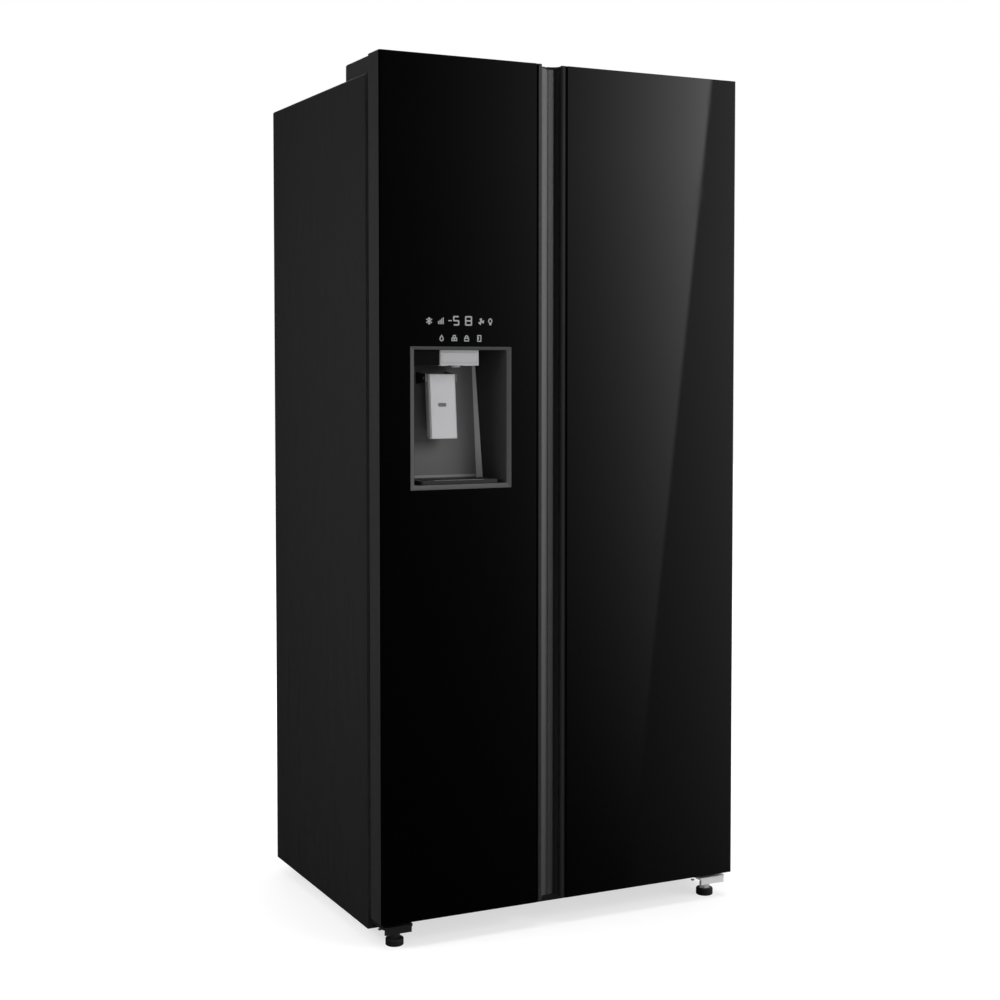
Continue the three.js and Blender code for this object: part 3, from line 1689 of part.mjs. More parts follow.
// The moulded cover over an upper hinge's foot and riser, open below and at the front.
function hingeCover(name, out) {
  const side = out < 0 ? left : right;
  const edges = [side - out * hingeCoverInset, side - out * (hingeCoverInset + hingeCoverWidth)];
  const x0 = Math.min(...edges);
  const x1 = Math.max(...edges);
  const y0 = cabinetFront - hingeCoverOverhang;
  const y1 = front + hingeCoverRear;
  const z0 = cabinetTop + fit;
  const inside = doorTop + 3 * fit + hingeSheet;
  const z1 = inside + hingeCoverSheet;
  const t = hingeCoverSheet;
  const body = prismX(
    [
      [y0, z0],
      [y1, z0],
      [y1, z1 - 10],
      [y1 - 8, z1 - 2],
      [y1 - 16, z1],
      [y0 + 2, z1],
      [y0, z1 - 2],
    ],
    x0,
    x1,
  );
  const space = prismX(
    [
      [y0 - 1, z0 - 1],
      [y1 - t, z0 - 1],
      [y1 - t, z1 - 11],
      [y1 - 9, inside],
      [y0 - 1, inside],
    ],
    x0 + t,
    x1 - t,
  );
  const plan = (inset) =>
    prismZ(
      frontRounded(x0 + inset, x1 - inset, y0 - 2, y1 - inset, hingeCoverCorner - inset),
      z0 - 2,
      z1 + 1,
    );
  return mesh(
    name,
    cut(body.intersect(plan(0)), [space.intersect(plan(t))]),
    blackPlastic,
  );
}

// The lower hinge: a leg on the front frame, a plate under the door with its pin, and a hole
// with a nut for the levelling foot.
function lowerHinge(name, out) {
  const side = out < 0 ? left : right;
  const edges = [side - out * lowerHingeInset, side - out * (lowerHingeInset + lowerHingeWidth)];
  const x0 = Math.min(...edges);
  const x1 = Math.max(...edges);
  const top = doorBottom - lowerHingeDrop;
  const y0 = front + 12;
  const sheet = hingeSheet + 1;
  const plate = prismZ(roundedRectangle(x0, x1, y0, cabinetFront, 6), top - sheet, top);
  const leg = block(x0, x1, cabinetFront - hingeSheet, cabinetFront, cabinetBottom + 1, top + 12);
  const lip = block(x0 + 4, x1 - 4, y0, y0 + hingeSheet, top - lowerHingeLip, top);
  const pinX = side - out * pinInset;
  const pin = cylinder("z", top - 1, doorBottom + pinEngagement, pinRadius, pinX, front + pinDepth, 16);
  const collar = cylinder("z", top - 1, doorBottom - fit, pinRadius + 4, pinX, front + pinDepth, 16);
  const footX = side - out * footInset;
  const footY = front + footDepth;
  const nut = cylinder("z", top - sheet - 7, top - sheet + 1, 10, footX, footY, 6);
  const bore = cylinder("z", top - 20, top + 1, footStud + fit + 0.1, footX, footY, 16);
  return mesh(name, cut(join([plate, leg, lip, pin, collar, nut]), [bore]), zinc);
}

function levellingFoot(name, out) {
  const side = out < 0 ? left : right;
  const x = side - out * footInset;
  const y = front + footDepth;
  const top = doorBottom - 3;
  return mesh(
    name,
    turned(
      [
        [0, 0],
        [footRadius - 2, 0],
        [footRadius, 2],
        [footRadius, footHeight - 2],
        [footRadius - 3, footHeight],
        [11, footHeight + 2],
        [11, footHeight + 8],
        [footStud, footHeight + 9],
        [footStud, top - 1],
        [footStud - 1, top],
        [0, top],
      ],
      x,
      y,
      20,
    ),
    blackRubber,
  );
}

function rearRoller(name, out) {
  const x = out * (right - rollerInset);
  const y = back - rollerFromBack;
  const half = rollerWidth / 2;
  const wheel = cylinder("x", x - half, x + half, rollerRadius, y, rollerRadius, 28);
  const reach = half + 1 + 2 * panSheet;
  const axle = cylinder("x", x - reach, x + reach, rollerAxle, y, rollerRadius, 16);
  return mesh(name, join([wheel, axle]), blackRubber);
}

// ---------------------------------------------------------------------------------------------
// Assembly
// ---------------------------------------------------------------------------------------------

function group(...parts) {
  const made = new THREE.Group();
  made.add(...parts);
  return made;
}

const cabinet = group(
  outerShell(),
  basePan(),
  cabinetFoam(),
  ...liners(),
  backPanel(),
  machineCover(),
  compressor(),
  condenserCoil(),
  condenserFanShroud(),
  condenserFan(),
  freezerAirPanel(),
  freezerFan(),
  evaporatorCoil(),
  fridgeAirTower(),
  iceMaker(),
  shelf("freezer_shelf_lower", freezerRoom, freezerLowerShelf, airPanelY - 6),
  shelf("freezer_shelf_upper", freezerRoom, freezerUpperShelf, airPanelY - 6),
  shelf("crisper_cover", fridgeRoom, crisperCoverShelf, rearY - liner - 6),
  shelf("fridge_shelf_middle", fridgeRoom, fridgeMiddleShelf, rearY - liner - towerDepth - 8),
  shelf("fridge_shelf_upper", fridgeRoom, fridgeUpperShelf, rearY - liner - towerDepth - 8),
  upperHinge("upper_hinge_left", -1),
  upperHinge("upper_hinge_right", 1),
  hingeCover("hinge_cover_left", -1),
  hingeCover("hinge_cover_right", 1),
  lowerHinge("lower_hinge_left", -1),
  lowerHinge("lower_hinge_right", 1),
  levellingFoot("foot_left", -1),
  levellingFoot("foot_right", 1),
  rearRoller("roller_left", -1),
  rearRoller("roller_right", 1),
);

const refrigerator = group(
  cabinet,
  group(...drawers(), iceBucket()),
  group(...freezerDoorParts(), paddle(), dripTray()),
  group(...fridgeDoorParts()),
);

export default refrigerator;
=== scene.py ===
"""A side by side refrigerator with black glass doors, dressed for a studio picture."""

import math

import bmesh
import bpy
from mathutils import Matrix, Vector


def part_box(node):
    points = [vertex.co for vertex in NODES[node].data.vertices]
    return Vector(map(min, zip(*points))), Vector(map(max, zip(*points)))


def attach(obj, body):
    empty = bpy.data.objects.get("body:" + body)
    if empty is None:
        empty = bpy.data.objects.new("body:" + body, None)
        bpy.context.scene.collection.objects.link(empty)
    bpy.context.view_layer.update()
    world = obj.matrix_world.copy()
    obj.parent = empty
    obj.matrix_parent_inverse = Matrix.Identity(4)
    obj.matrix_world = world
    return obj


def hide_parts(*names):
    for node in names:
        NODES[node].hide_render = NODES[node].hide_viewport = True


bl_info = {
    "name": "Side by Side Refrigerator",
    "version": (1, 0, 0),
    "blender": (4, 5, 0),
    "location": "View3D > Sidebar > Refrigerator",
    "description": "Dresses a side by side refrigerator with glass doors and a dispenser",
    "category": "Object",
}

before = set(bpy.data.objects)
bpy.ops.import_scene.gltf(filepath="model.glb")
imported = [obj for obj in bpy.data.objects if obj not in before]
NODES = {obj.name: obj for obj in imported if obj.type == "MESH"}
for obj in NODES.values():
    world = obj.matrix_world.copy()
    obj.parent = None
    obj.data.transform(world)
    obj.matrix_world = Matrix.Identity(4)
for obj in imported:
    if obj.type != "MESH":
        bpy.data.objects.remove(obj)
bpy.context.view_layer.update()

SIDES = ("left", "right")
DOORS = ("freezer", "fridge")
BINS = [f"{door}_door_bin_{number}" for door in DOORS for number in (1, 2, 3)]
DRAWERS = ("freezer_drawer_lower", "freezer_drawer_upper", "crisper_lower", "crisper_upper")
SHELVES = (
    "freezer_shelf_lower", "freezer_shelf_upper", "crisper_cover", "fridge_shelf_middle",
    "fridge_shelf_upper",
)

MATERIALS = {}
GROUPS = {}


# ---- Settings ----


def colour(name, description, default):
    return bpy.props.FloatVectorProperty(
        name=name, description=description, default=default,
        subtype="COLOR", size=3, min=0.0, max=1.0,
    )


def length(name, description, default):
    return bpy.props.FloatProperty(
        name=name, description=description, default=default,
        subtype="DISTANCE", unit="LENGTH", min=0.0, precision=5,
    )


def power(name, description, default):
    return bpy.props.FloatProperty(
        name=name, description=description, default=default, unit="POWER", min=0.0
    )


def share(name, description, default, most=1.0):
    return bpy.props.FloatProperty(
        name=name, description=description, default=default, min=0.0, max=most
    )


def angle(name, description, degrees):
    return bpy.props.FloatProperty(
        name=name, description=description, default=math.radians(degrees), subtype="ANGLE"
    )


class FridgeFinish(bpy.types.PropertyGroup):
    """Colours and surface values of the finishes"""

    glass: colour("Door glass", "Print behind the door glass", (0.0004, 0.0004, 0.00045))
    glass_roughness: share("Glass roughness", "Polish of the door glass", 0.016)
    sheet: colour("Cabinet sheet", "Coated sheet of the cabinet", (0.0150, 0.0150, 0.0155))
    sheet_roughness: share("Sheet roughness", "Sheen of the cabinet sheet", 0.46)
    door_side: colour("Door side", "Moulded strip round the doors", (0.021, 0.021, 0.0215))
    grip: colour("Grip", "Anodised finger grips", (0.178, 0.178, 0.182))
    dark_grip: colour("Dark grip", "Gloss black grip of the fridge door", (0.015, 0.015, 0.0152))
    bezel: colour("Bezel", "Trim round the dispenser", (0.064, 0.065, 0.067))
    recess: colour("Recess", "Moulded dispenser recess", (0.030, 0.030, 0.031))
    # The recess panel's grey is painted light: the recess's back wall is made lighter than its
    # sides, as light falls there.
    panel: colour("Recess panel", "Grey panel at the back of the recess", (0.135, 0.135, 0.137))
    silver: colour("Silver", "Painted lever and nozzle housing", (0.50, 0.50, 0.51))
    liner: colour("Liner", "Thermoformed liners", (0.80, 0.81, 0.81))
    foam: colour("Foam", "Insulating foam", (0.66, 0.56, 0.30))
    seal: colour("Seal", "Door seals", (0.105, 0.105, 0.108))
    black_plastic: colour("Black plastic", "Covers and fans", (0.022, 0.022, 0.023))
    rubber: colour("Rubber", "Feet and rollers", (0.008, 0.008, 0.008))
    clear: colour("Clear plastic", "Drawers and bins", (0.80, 0.87, 0.90))
    shelf: colour("Shelf glass", "Tempered shelf glass", (0.62, 0.80, 0.75))
    icon: colour("Icons", "Lit symbols behind the glass", (0.29, 0.298, 0.306))


class FridgeDetail(bpy.types.PropertyGroup):
    """Sizes of the small details"""

    edge: length("Edge radius", "Rounding of moulded edges", 0.0006)
    bezel: length("Bezel border", "Width of the bezel's sides and foot", 0.0092)
    bezel_top: length("Bezel top border", "Width of the bezel's head", 0.0062)
    groove: length("Groove", "Width of the groove beside the glass", 0.0027)
    groove_floor: length("Groove floor", "Floor of that groove behind the glass face", 0.0030)
    # The black strip beside the glass is painted shade in the groove.
    groove_shade_strip: length("Groove strip", "Width of the black strip beside the glass", 0.0052)
    half_channel: length("Half channel", "From a glass edge to the middle of the gap", 0.0357)
    door_gap: length("Floor gap", "Gap between the grips' floor plates", 0.0012)
    floor_depth: length("Floor depth", "Floor plate of the grip behind the glass face", 0.0195)
    floor_sheet: length("Floor sheet", "Thickness of the grips' floor plates", 0.0012)
    floor_left: length("Left floor", "Reach of the freezer side's floor plate", 0.0160)
    floor_right: length("Right floor", "Reach of the fridge side's floor plate", 0.0132)
    floor_inset: length("Floor inset", "From the door's ends to the floor plates", 0.006)
    floor_bend: bpy.props.FloatProperty(
        name="Floor bend", description="Curve of the freezer side's floor plate", default=12.0
    )
    ceiling: length("Ceiling", "Liner's outside to the lamp's seat", 0.0197)
    lamp_border: length("Lamp border", "Width of the frames round the room lamps", 0.005)
    shelf_lip: length("Shelf line", "How far the shelf lines stand proud", 0.0008)
    bin_lip: length("Bin lip", "Height of the bins' front wall", 0.066)
    ledge: length("Ledge", "Height of the ledge at the foot of the recess's back", 0.0062)
    pad: length("Foot pad", "Radius of the feet's pads", 0.0185)
    pad_height: length("Pad height", "Height of the feet's pads", 0.0150)
    hexagon: length("Hexagon", "Height of the feet's hexagons", 0.0050)
    collar: length("Collar", "Radius of the collars under the brackets", 0.0108)
    stud: length("Stud", "Radius of the levelling studs", 0.0050)
    glass_edge: length("Glass edge", "Ground edge of the door glass", 0.0008)
    flush: share("Flush heads", "Rise of the flush screw heads, as a share of radius", 0.05)
    proud: share("Pan heads", "Rise of the pan head screws, as a share of radius", 0.64)
    film: length("Film", "Thickness of printed symbols", 0.00006)
    digit_height: length("Digit height", "Height of the display's digits", 0.0175)
    icon_size: length("Icon size", "Size of the display's symbols", 0.0125)
    screw: length("Screw radius", "Radius of the cover screws", 0.0042)
    screw_inset: length("Screw inset", "From the back sheets' edges to their screws", 0.011)
    thread_pitch: length("Thread pitch", "Pitch of the foot's thread", 0.0015)
    wire: length("Wire", "Thickness of the condenser's wires", 0.0014)


class FridgeStudio(bpy.types.PropertyGroup):
    """Camera, lamps and backdrop"""

    place: bpy.props.FloatVectorProperty(
        name="Camera place", description="Where the camera stands", subtype="TRANSLATION",
        size=3, default=(-1.6593, -3.3669, 1.1576),
    )
    yaw: angle("Camera yaw", "Turn of the camera to its right, from looking along +Y", 26.295)
    pitch: angle("Camera pitch", "Tilt of the camera below the horizon", 2.552)
    lens: bpy.props.FloatProperty(
        name="Lens", description="Focal length in millimetres", default=60.398, min=10.0
    )
    shift: bpy.props.FloatProperty(
        name="Lens shift", description="Rise of the frame, as a share of its width", default=-0.055
    )
    key: power("Key lamp", "Soft lamp at the front right", 96.0)
    side: power("Side lamp", "Soft lamp at the left", 22.0)
    top: power("Top lamp", "Soft lamp overhead", 95.0)
    back: power("Back lamp", "Soft lamp behind", 80.0)
    ambient: share("Ambient", "Even light from the room", 0.42)
    card: share("Card", "Brightness of the card that the glass mirrors", 1.82, most=10.0)
    beyond: share("Beyond the card", "Brightness of the room past the card", 0.49, most=10.0)


# ---- Node helpers ----


class Tree:
    """A few short ways to add and link shader nodes."""

    def __init__(self, node_tree):
        self.nodes = node_tree.nodes
        self.links = node_tree.links

    def add(self, kind, inputs=None, **settings):
        node = self.nodes.new("ShaderNode" + kind)
        for name, value in settings.items():
            setattr(node, name, value)
        for name, value in (inputs or {}).items():
            self.set(node.inputs[name], value)
        return node

    def set(self, socket, value):
        if isinstance(value, bpy.types.NodeSocket):
            self.links.new(value, socket)
        else:
            socket.default_value = value

    def math(self, operation, a, b=0.0, clamp=False):
        node = self.add("Math", {0: a, 1: b}, operation=operation, use_clamp=clamp)
        return node.outputs[0]

    def multiply(self, *factors):
        product = factors[0]
        for factor in factors[1:]:
            product = self.math("MULTIPLY", product, factor)
        return product

    def between(self, value, low, high, out_low=0.0, out_high=1.0, smooth=False):
        node = self.add(
            "MapRange",
            {0: value, 1: low, 2: high, 3: out_low, 4: out_high},
            interpolation_type="SMOOTHSTEP" if smooth else "LINEAR",
        )
        return node.outputs[0]

    def mix(self, factor, a, b):
        """A mix of two colours."""
        node = self.add("Mix", data_type="RGBA")
        self.set(node.inputs[0], factor)
        self.set(node.inputs[6], (*a, 1.0))
        self.set(node.inputs[7], (*b, 1.0))
        return node.outputs[2]

    def degrees(self, across, ahead):
        """The angle, in degrees, whose tangent is across over ahead."""
        return self.multiply(self.math("ARCTAN2", across, ahead), 180.0 / math.pi)

    def either(self, factor, first, second):
        """A mix of two shader nodes; a factor of one takes the second."""
        shaders = {1: first.outputs[0], 2: second.outputs[0]}
        return self.add("MixShader", {0: factor, **shaders})

    def object_place(self):
        return self.add("TexCoord").outputs["Object"]

    def noise(self, place, scale, detail, **more):
        """The value of a noise texture; a further input's name has _ for a space."""
        inputs = {"Vector": place, "Scale": scale, "Detail": detail}
        inputs.update({label.replace("_", " "): value for label, value in more.items()})
        return self.add("TexNoise", inputs).outputs[0]


def group(key, name, inputs, *outputs):
    """A new shader node group; inputs are {name: default}, outputs are names."""
    tree = GROUPS[key] = bpy.data.node_groups.new(name, "ShaderNodeTree")
    for label, default in inputs.items():
        socket = tree.interface.new_socket(label, in_out="INPUT", socket_type="NodeSocketFloat")
        socket.default_value = default
    for label in outputs:
        tree.interface.new_socket(label, in_out="OUTPUT", socket_type="NodeSocketFloat")
    t = Tree(tree)
    given, out = t.nodes.new("NodeGroupInput"), t.nodes.new("NodeGroupOutput")
    return t, given.outputs, out.inputs


def build_groups():
    """The effects that several finishes share."""
    # Small even bumps, as on moulded plastic or coated sheet.
    t, given, out = group("grain", "Fine grain", {"Scale": 900.0, "Spread": 0.5}, "Height")
    place = t.object_place()
    fine = t.noise(place, given["Scale"], 2.0)
    cells = t.add(
        "TexVoronoi", {"Vector": place, "Scale": given["Scale"], "Smoothness": 1.0},
        feature="SMOOTH_F1",
    )
    both = t.add("Mix", {0: given["Spread"], 2: fine, 3: cells.outputs[0]})
    t.set(out["Height"], both.outputs[0])

    # The long shallow unevenness of sheet metal, foam or formed plastic.
    t, given, out = group("waves", "Slow waves", {"Scale": 6.0}, "Height")
    t.set(out["Height"], t.noise(t.object_place(), given["Scale"], 1.0))

    # Soft patches where hands and cloths have been.
    t, given, out = group("marks", "Handling marks", {"Scale": 9.0, "Amount": 0.5}, "Mask")
    place = t.object_place()
    patches = t.noise(place, given["Scale"], 4.0, Distortion=1.2)
    streaks = t.add("Mapping", {"Vector": place, "Scale": (3.0, 3.0, 0.6)})
    wiped = t.noise(streaks.outputs[0], 14.0, 5.0)
    spread = t.between(t.multiply(patches, wiped), 0.22, 0.42, smooth=True)
    t.set(out["Mask"], t.multiply(spread, given["Amount"]))

    # Thin dust on faces that look up.
    t, given, out = group("dust", "Settled dust", {"Amount": 0.3}, "Mask")
    up = t.add("SeparateXYZ", {0: t.add("NewGeometry").outputs["Normal"]}).outputs[2]
    speckle = t.noise(t.object_place(), 24.0, 8.0, Roughness=0.7)
    facing = t.between(up, 0.6, 1.0, smooth=True)
    settled = t.multiply(facing, t.between(speckle, 0.42, 0.68), given["Amount"])
    t.set(out["Mask"], settled)

    # Long fine lines along one axis.
    axes = {"Along X": 1.0, "Along Y": 1.0, "Along Z": 0.02}
    t, given, out = group("drawn", "Drawn grain", axes, "Height")
    stretch = t.add("CombineXYZ", {i: given[i] for i in range(3)})
    stretched = t.add(
        "VectorMath", {0: t.object_place(), 1: stretch.outputs[0]}, operation="MULTIPLY"
    )
    t.set(out["Height"], t.noise(stretched.outputs[0], 1400.0, 3.0))

    # The crystals of a hot dipped zinc coat.
    t, given, out = group("spangle", "Spangle", {"Scale": 120.0}, "Tone")
    place = t.object_place()
    bent = t.add("TexNoise", {"Vector": place, "Scale": 60.0, "Detail": 1.0}).outputs[1]
    shift = t.add("VectorMath", {0: bent, "Scale": 0.004}, operation="SCALE")
    moved_place = t.add("VectorMath", {0: place, 1: shift.outputs[0]}, operation="ADD")
    crystals = t.add("TexVoronoi", {"Vector": moved_place.outputs[0], "Scale": given["Scale"]})
    tone = t.add("SeparateXYZ", {0: crystals.outputs["Color"]}).outputs[0]
    t.set(out["Tone"], tone)


def grain(scale, spread=0.5):
    return "grain", {"Scale": scale, "Spread": spread}


def waves(scale):
    return "waves", {"Scale": scale}


def marks(scale, amount):
    return "marks", {"Scale": scale, "Amount": amount}


def dust(amount):
    return "dust", {"Amount": amount}


def drawn(x, y, z):
    return "drawn", {"Along X": x, "Along Y": y, "Along Z": z}


def spangle(scale):
    return "spangle", {"Scale": scale}


class Finish(Tree):
    """A material with one Principled shader, filled in step by step."""

    def __init__(self, name, base, roughness, **constants):
        self.material = bpy.data.materials.new(name)
        self.material.use_nodes = True
        super().__init__(self.material.node_tree)
        self.nodes.clear()
        self.effects = {}
        self.shader = self.add("BsdfPrincipled")
        self.add("OutputMaterial", {0: self.shader.outputs[0]})
        self.put("Base Color", (*base, 1.0))
        self.put("Roughness", roughness)
        for label, value in constants.items():
            self.put(label, value)

    def put(self, label, value):
        self.set(self.shader.inputs[label], value)

    def effect(self, key, values):
        """The output of a shared effect, added once for the same values."""
        known = (key, *values.values())
        if known not in self.effects:
            node = self.nodes.new("ShaderNodeGroup")
            node.node_tree = GROUPS[key]
            for label, value in values.items():
                node.inputs[label].default_value = value
            self.effects[known] = node.outputs[0]
        return self.effects[known]

    def bump(self, effect, distance, strength, under=None):
        """A bump, on top of another where one is given."""
        height = self.effect(*effect)
        node = self.add("Bump", {"Height": height, "Distance": distance, "Strength": strength})
        if under is not None:
            self.links.new(under, node.inputs["Normal"])
        self.put("Normal", node.outputs[0])
        return node.outputs[0]

    def vary_roughness(self, effect, low, high):
        self.put("Roughness", self.between(self.effect(*effect), 0.0, 1.0, low, high))

    def vary_colour(self, effect, a, b):
        self.put("Base Color", self.mix(self.effect(*effect), a, b))

    def glow(self, effect, a, b, strength):
        self.put("Emission Color", self.mix(self.effect(*effect), a, b))
        self.put("Emission Strength", strength)


def finish(
    key, name, base, roughness, bumps=(), rough=None, tone=None, glow=None, **constants
):
    """One finish: bumps are (effect, distance, strength), each on top of the one before;
    rough is (effect, low, high), tone (effect, colour, colour), glow the same with a strength.
    """
    made = Finish(name, base, roughness, **constants)
    under = None
    for bump in bumps:
        under = made.bump(*bump, under)
    if rough:
        made.vary_roughness(*rough)
    if tone:
        made.vary_colour(*tone)
    if glow:
        made.glow(*glow)
    MATERIALS[key] = made.material


def see_through(key, name, base, roughness, low, high):
    """Thin clear plastic or glass: nearly clear face on, dense along its rims."""
    m = Finish(name, base, roughness, IOR=1.49)
    rim = m.add("LayerWeight", {"Blend": 0.35}).outputs["Facing"]
    touched = marks(10.0, 0.8)
    haze = m.between(rim, 0.15, 0.95, low, high, smooth=True)
    m.put("Alpha", m.math("ADD", haze, m.multiply(m.effect(*touched), 0.012), clamp=True))
    m.vary_roughness(touched, roughness, roughness * 1.3)
    m.bump(waves(22.0), 0.0006, 0.3)
    MATERIALS[key] = m.material


def grey(tone, blue=0.0):
    """A neutral colour, a little bluer where asked."""
    return tone, tone, tone + blue


def tinted(base, factor):
    return tuple(min(1.0, channel * factor) for channel in base)


def build_materials(f):
    """Every finish of the refrigerator, by a short name."""
    build_groups()
    gloss, sheen = f.glass_roughness, f.sheet_roughness
    pale_dust = (0.06, 0.06, 0.058)
    lines, cross_lines = drawn(1.0, 1.0, 0.012), drawn(0.02, 1.0, 1.0)
    smears = marks(16.0, 0.6)
    strong_smears = marks(16.0, 0.9)

    finish(
        "glass", "Door glass", f.glass, gloss, IOR=1.52,
        rough=(marks(7.0, 0.6), gloss * 0.7, gloss * 2.2),
        tone=(dust(0.2), f.glass, grey(0.03)),
    )
    finish(
        "sheet", "Coated sheet", f.sheet, sheen, IOR=1.45,
        bumps=[(waves(5.0), 0.0016, 0.35), (grain(700.0, 0.35), 0.00006, 0.55)],
        rough=(marks(5.0, 0.7), sheen - 0.05, sheen + 0.06),
        tone=(dust(0.35), f.sheet, pale_dust),
    )
    finish(
        "door_side", "Door side strip", f.door_side, 0.40, IOR=1.46,
        bumps=[(grain(1600.0), 0.00003, 0.4)], rough=(marks(12.0, 0.8), 0.36, 0.46),
        tone=(dust(0.35), f.door_side, pale_dust),
    )
    finish(
        "grip", "Anodised grip", f.grip, 0.20, Metallic=0.85,
        bumps=[(lines, 0.00002, 0.4)], rough=(lines, 0.16, 0.26),
        tone=(lines, tinted(f.grip, 0.88), tinted(f.grip, 1.12)),
    )
    # The lip is the grip's anodised finish at a little over half its brightness: painted shade on
    # the nose's front.
    finish(
        "lip", "Grip lip", tinted(f.grip, 0.55), 0.20, Metallic=0.85,
        bumps=[(lines, 0.00002, 0.4)], rough=(lines, 0.16, 0.26),
    )
    finish(
        "dark_grip", "Dark grip", f.dark_grip, 0.12, IOR=1.5,
        bumps=[(grain(1500.0), 0.00001, 0.3)], rough=(marks(14.0, 0.9), 0.09, 0.2),
        tone=(dust(0.3), f.dark_grip, grey(0.05)),
    )
    finish(
        "bezel", "Grey trim", f.bezel, 0.30, IOR=1.46,
        bumps=[(grain(1800.0), 0.00002, 0.35)], rough=(waves(9.0), 0.28, 0.36),
    )
    # Gloss black for the coat to the left of the nozzle housing.
    finish(
        "gloss_black_coat", "Gloss fascia", grey(0.004, 0.0002), 0.09, IOR=1.5,
        bumps=[(grain(1500.0), 0.00001, 0.2)], rough=(marks(20.0, 0.9), 0.07, 0.16),
    )
    # Painted light: the panel is a lighter grey for the recess's back wall. The ledge, twice as
    # light, is a painted highlight.
    for key, name, factor in (("panel", "Recess panel", 1.0), ("ledge", "Recess ledge", 2.0)):
        finish(
            key, name, tinted(f.panel, factor), 0.40, IOR=1.46,
            bumps=[(grain(1400.0), 0.00002, 0.4)], rough=(smears, 0.36, 0.44),
        )
    # Groove black: nearly black and barely glossy, painted shade for the groove beside the door
    # glass.
    finish(
        "groove", "Groove black", grey(0.0015), 0.9, IOR=1.12,
        bumps=[(grain(1500.0), 0.00002, 0.5)], rough=(smears, 0.8, 0.95),
    )
    finish(
        "recess", "Recess plastic", f.recess, 0.54, IOR=1.32,
        bumps=[(grain(1300.0, 0.6), 0.00004, 0.6)], rough=(strong_smears, 0.50, 0.58),
    )
    flakes = grain(2600.0, 0.85)
    # The lever's copy of the silver paint is a quarter lighter than the housing's: painted light
    # on the lever.
    for key, name, factor in (("silver", "Silver paint", 1.0), ("lever", "Lever paint", 1.25)):
        finish(
            key, name, tinted(f.silver, factor), 0.34, Metallic=0.25,
            bumps=[(flakes, 0.000004, 0.3)], rough=(flakes, 0.31, 0.38),
            tone=(flakes, tinted(f.silver, factor * 0.92), tinted(f.silver, factor * 1.06)),
        )
    flakes = grain(2400.0, 0.8)
    finish(
        "painted", "Painted line", grey(0.50, 0.005), 0.36, IOR=1.48,
        bumps=[(flakes, 0.00001, 0.3)], rough=(flakes, 0.32, 0.42),
        tone=(flakes, grey(0.47, 0.005), grey(0.53, 0.005)),
    )
    finish(
        "satin", "Satin trim", grey(0.34, 0.005), 0.28, Metallic=0.8,
        bumps=[(cross_lines, 0.00001, 0.3)], rough=(cross_lines, 0.24, 0.34),
        tone=(cross_lines, grey(0.31, 0.005), grey(0.37, 0.005)),
    )
    finish(
        "zinc", "Zinc plate", (0.52, 0.53, 0.55), 0.34, Metallic=1.0,
        bumps=[(grain(900.0, 0.3), 0.00004, 0.5)], rough=(marks(40.0, 1.0), 0.28, 0.46),
        tone=(marks(40.0, 1.0), (0.55, 0.56, 0.58), (0.44, 0.45, 0.44)),
    )
    finish(
        "bright", "Bright plate", (0.74, 0.745, 0.75), 0.30, Metallic=0.15,
        bumps=[(grain(900.0, 0.3), 0.00003, 0.4)], rough=(waves(60.0), 0.26, 0.38),
        tone=(waves(60.0), (0.76, 0.765, 0.77), (0.70, 0.705, 0.71)),
    )
    finish(
        "galvanised", "Galvanised sheet", (0.42, 0.43, 0.44), 0.45, Metallic=0.9,
        bumps=[(waves(5.0), 0.002, 0.4)], rough=(spangle(110.0), 0.36, 0.54),
        tone=(spangle(110.0), (0.34, 0.35, 0.36), (0.50, 0.51, 0.52)),
    )
    finish(
        "liner", "Formed liner", f.liner, 0.27, IOR=1.5,
        bumps=[(waves(9.0), 0.0012, 0.3), (grain(650.0, 0.2), 0.00005, 0.35)],
        rough=(waves(4.0), 0.25, 0.33), tone=(waves(4.0), f.liner, tinted(f.liner, 0.975)),
    )
    finish(
        "white", "Moulded white", tinted(f.liner, 1.02), 0.34, IOR=1.49,
        bumps=[(grain(1500.0), 0.00003, 0.5)], rough=(waves(7.0), 0.30, 0.40),
    )
    pores = grain(420.0, 0.9)
    finish(
        "foam", "Insulating foam", f.foam, 0.9,
        bumps=[(waves(30.0), 0.002, 0.6), (pores, 0.0003, 0.7)],
        tone=(pores, tinted(f.foam, 0.8), tinted(f.foam, 1.1)),
    )
    finish(
        "seal", "Seal rubber", f.seal, 0.62, bumps=[(grain(1100.0), 0.00004, 0.5)],
        tone=(marks(14.0, 0.9), f.seal, tinted(f.seal, 1.5)),
    )
    finish(
        "black_plastic", "Black plastic", f.black_plastic, 0.42, IOR=1.46,
        bumps=[(grain(1200.0, 0.6), 0.00005, 0.6)], rough=(strong_smears, 0.38, 0.50),
        tone=(dust(0.3), f.black_plastic, (0.07, 0.07, 0.068)),
    )
    finish(
        "rubber", "Foot rubber", f.rubber, 0.66, bumps=[(grain(800.0), 0.00006, 0.7)],
        tone=(marks(50.0, 0.9), f.rubber, tinted(f.rubber, 1.8)),
    )
    finish(
        "enamel", "Black enamel", grey(0.012, 0.0005), 0.36, IOR=1.5,
        bumps=[(waves(90.0), 0.0003, 0.5)], rough=(marks(20.0, 0.9), 0.30, 0.46),
        tone=(dust(0.8), grey(0.012, 0.0005), (0.10, 0.095, 0.085)),
    )
    finish(
        "copper", "Copper tube", (0.70, 0.33, 0.20), 0.34, Metallic=1.0,
        rough=(marks(60.0, 1.0), 0.26, 0.5),
        tone=(marks(60.0, 1.0), (0.72, 0.35, 0.22), (0.34, 0.17, 0.10)),
    )
    finish(
        "fins", "Fin stock", (0.60, 0.61, 0.62), 0.38, Metallic=0.9,
        bumps=[(grain(700.0, 0.2), 0.00005, 0.5)], rough=(marks(30.0, 1.0), 0.30, 0.5),
    )
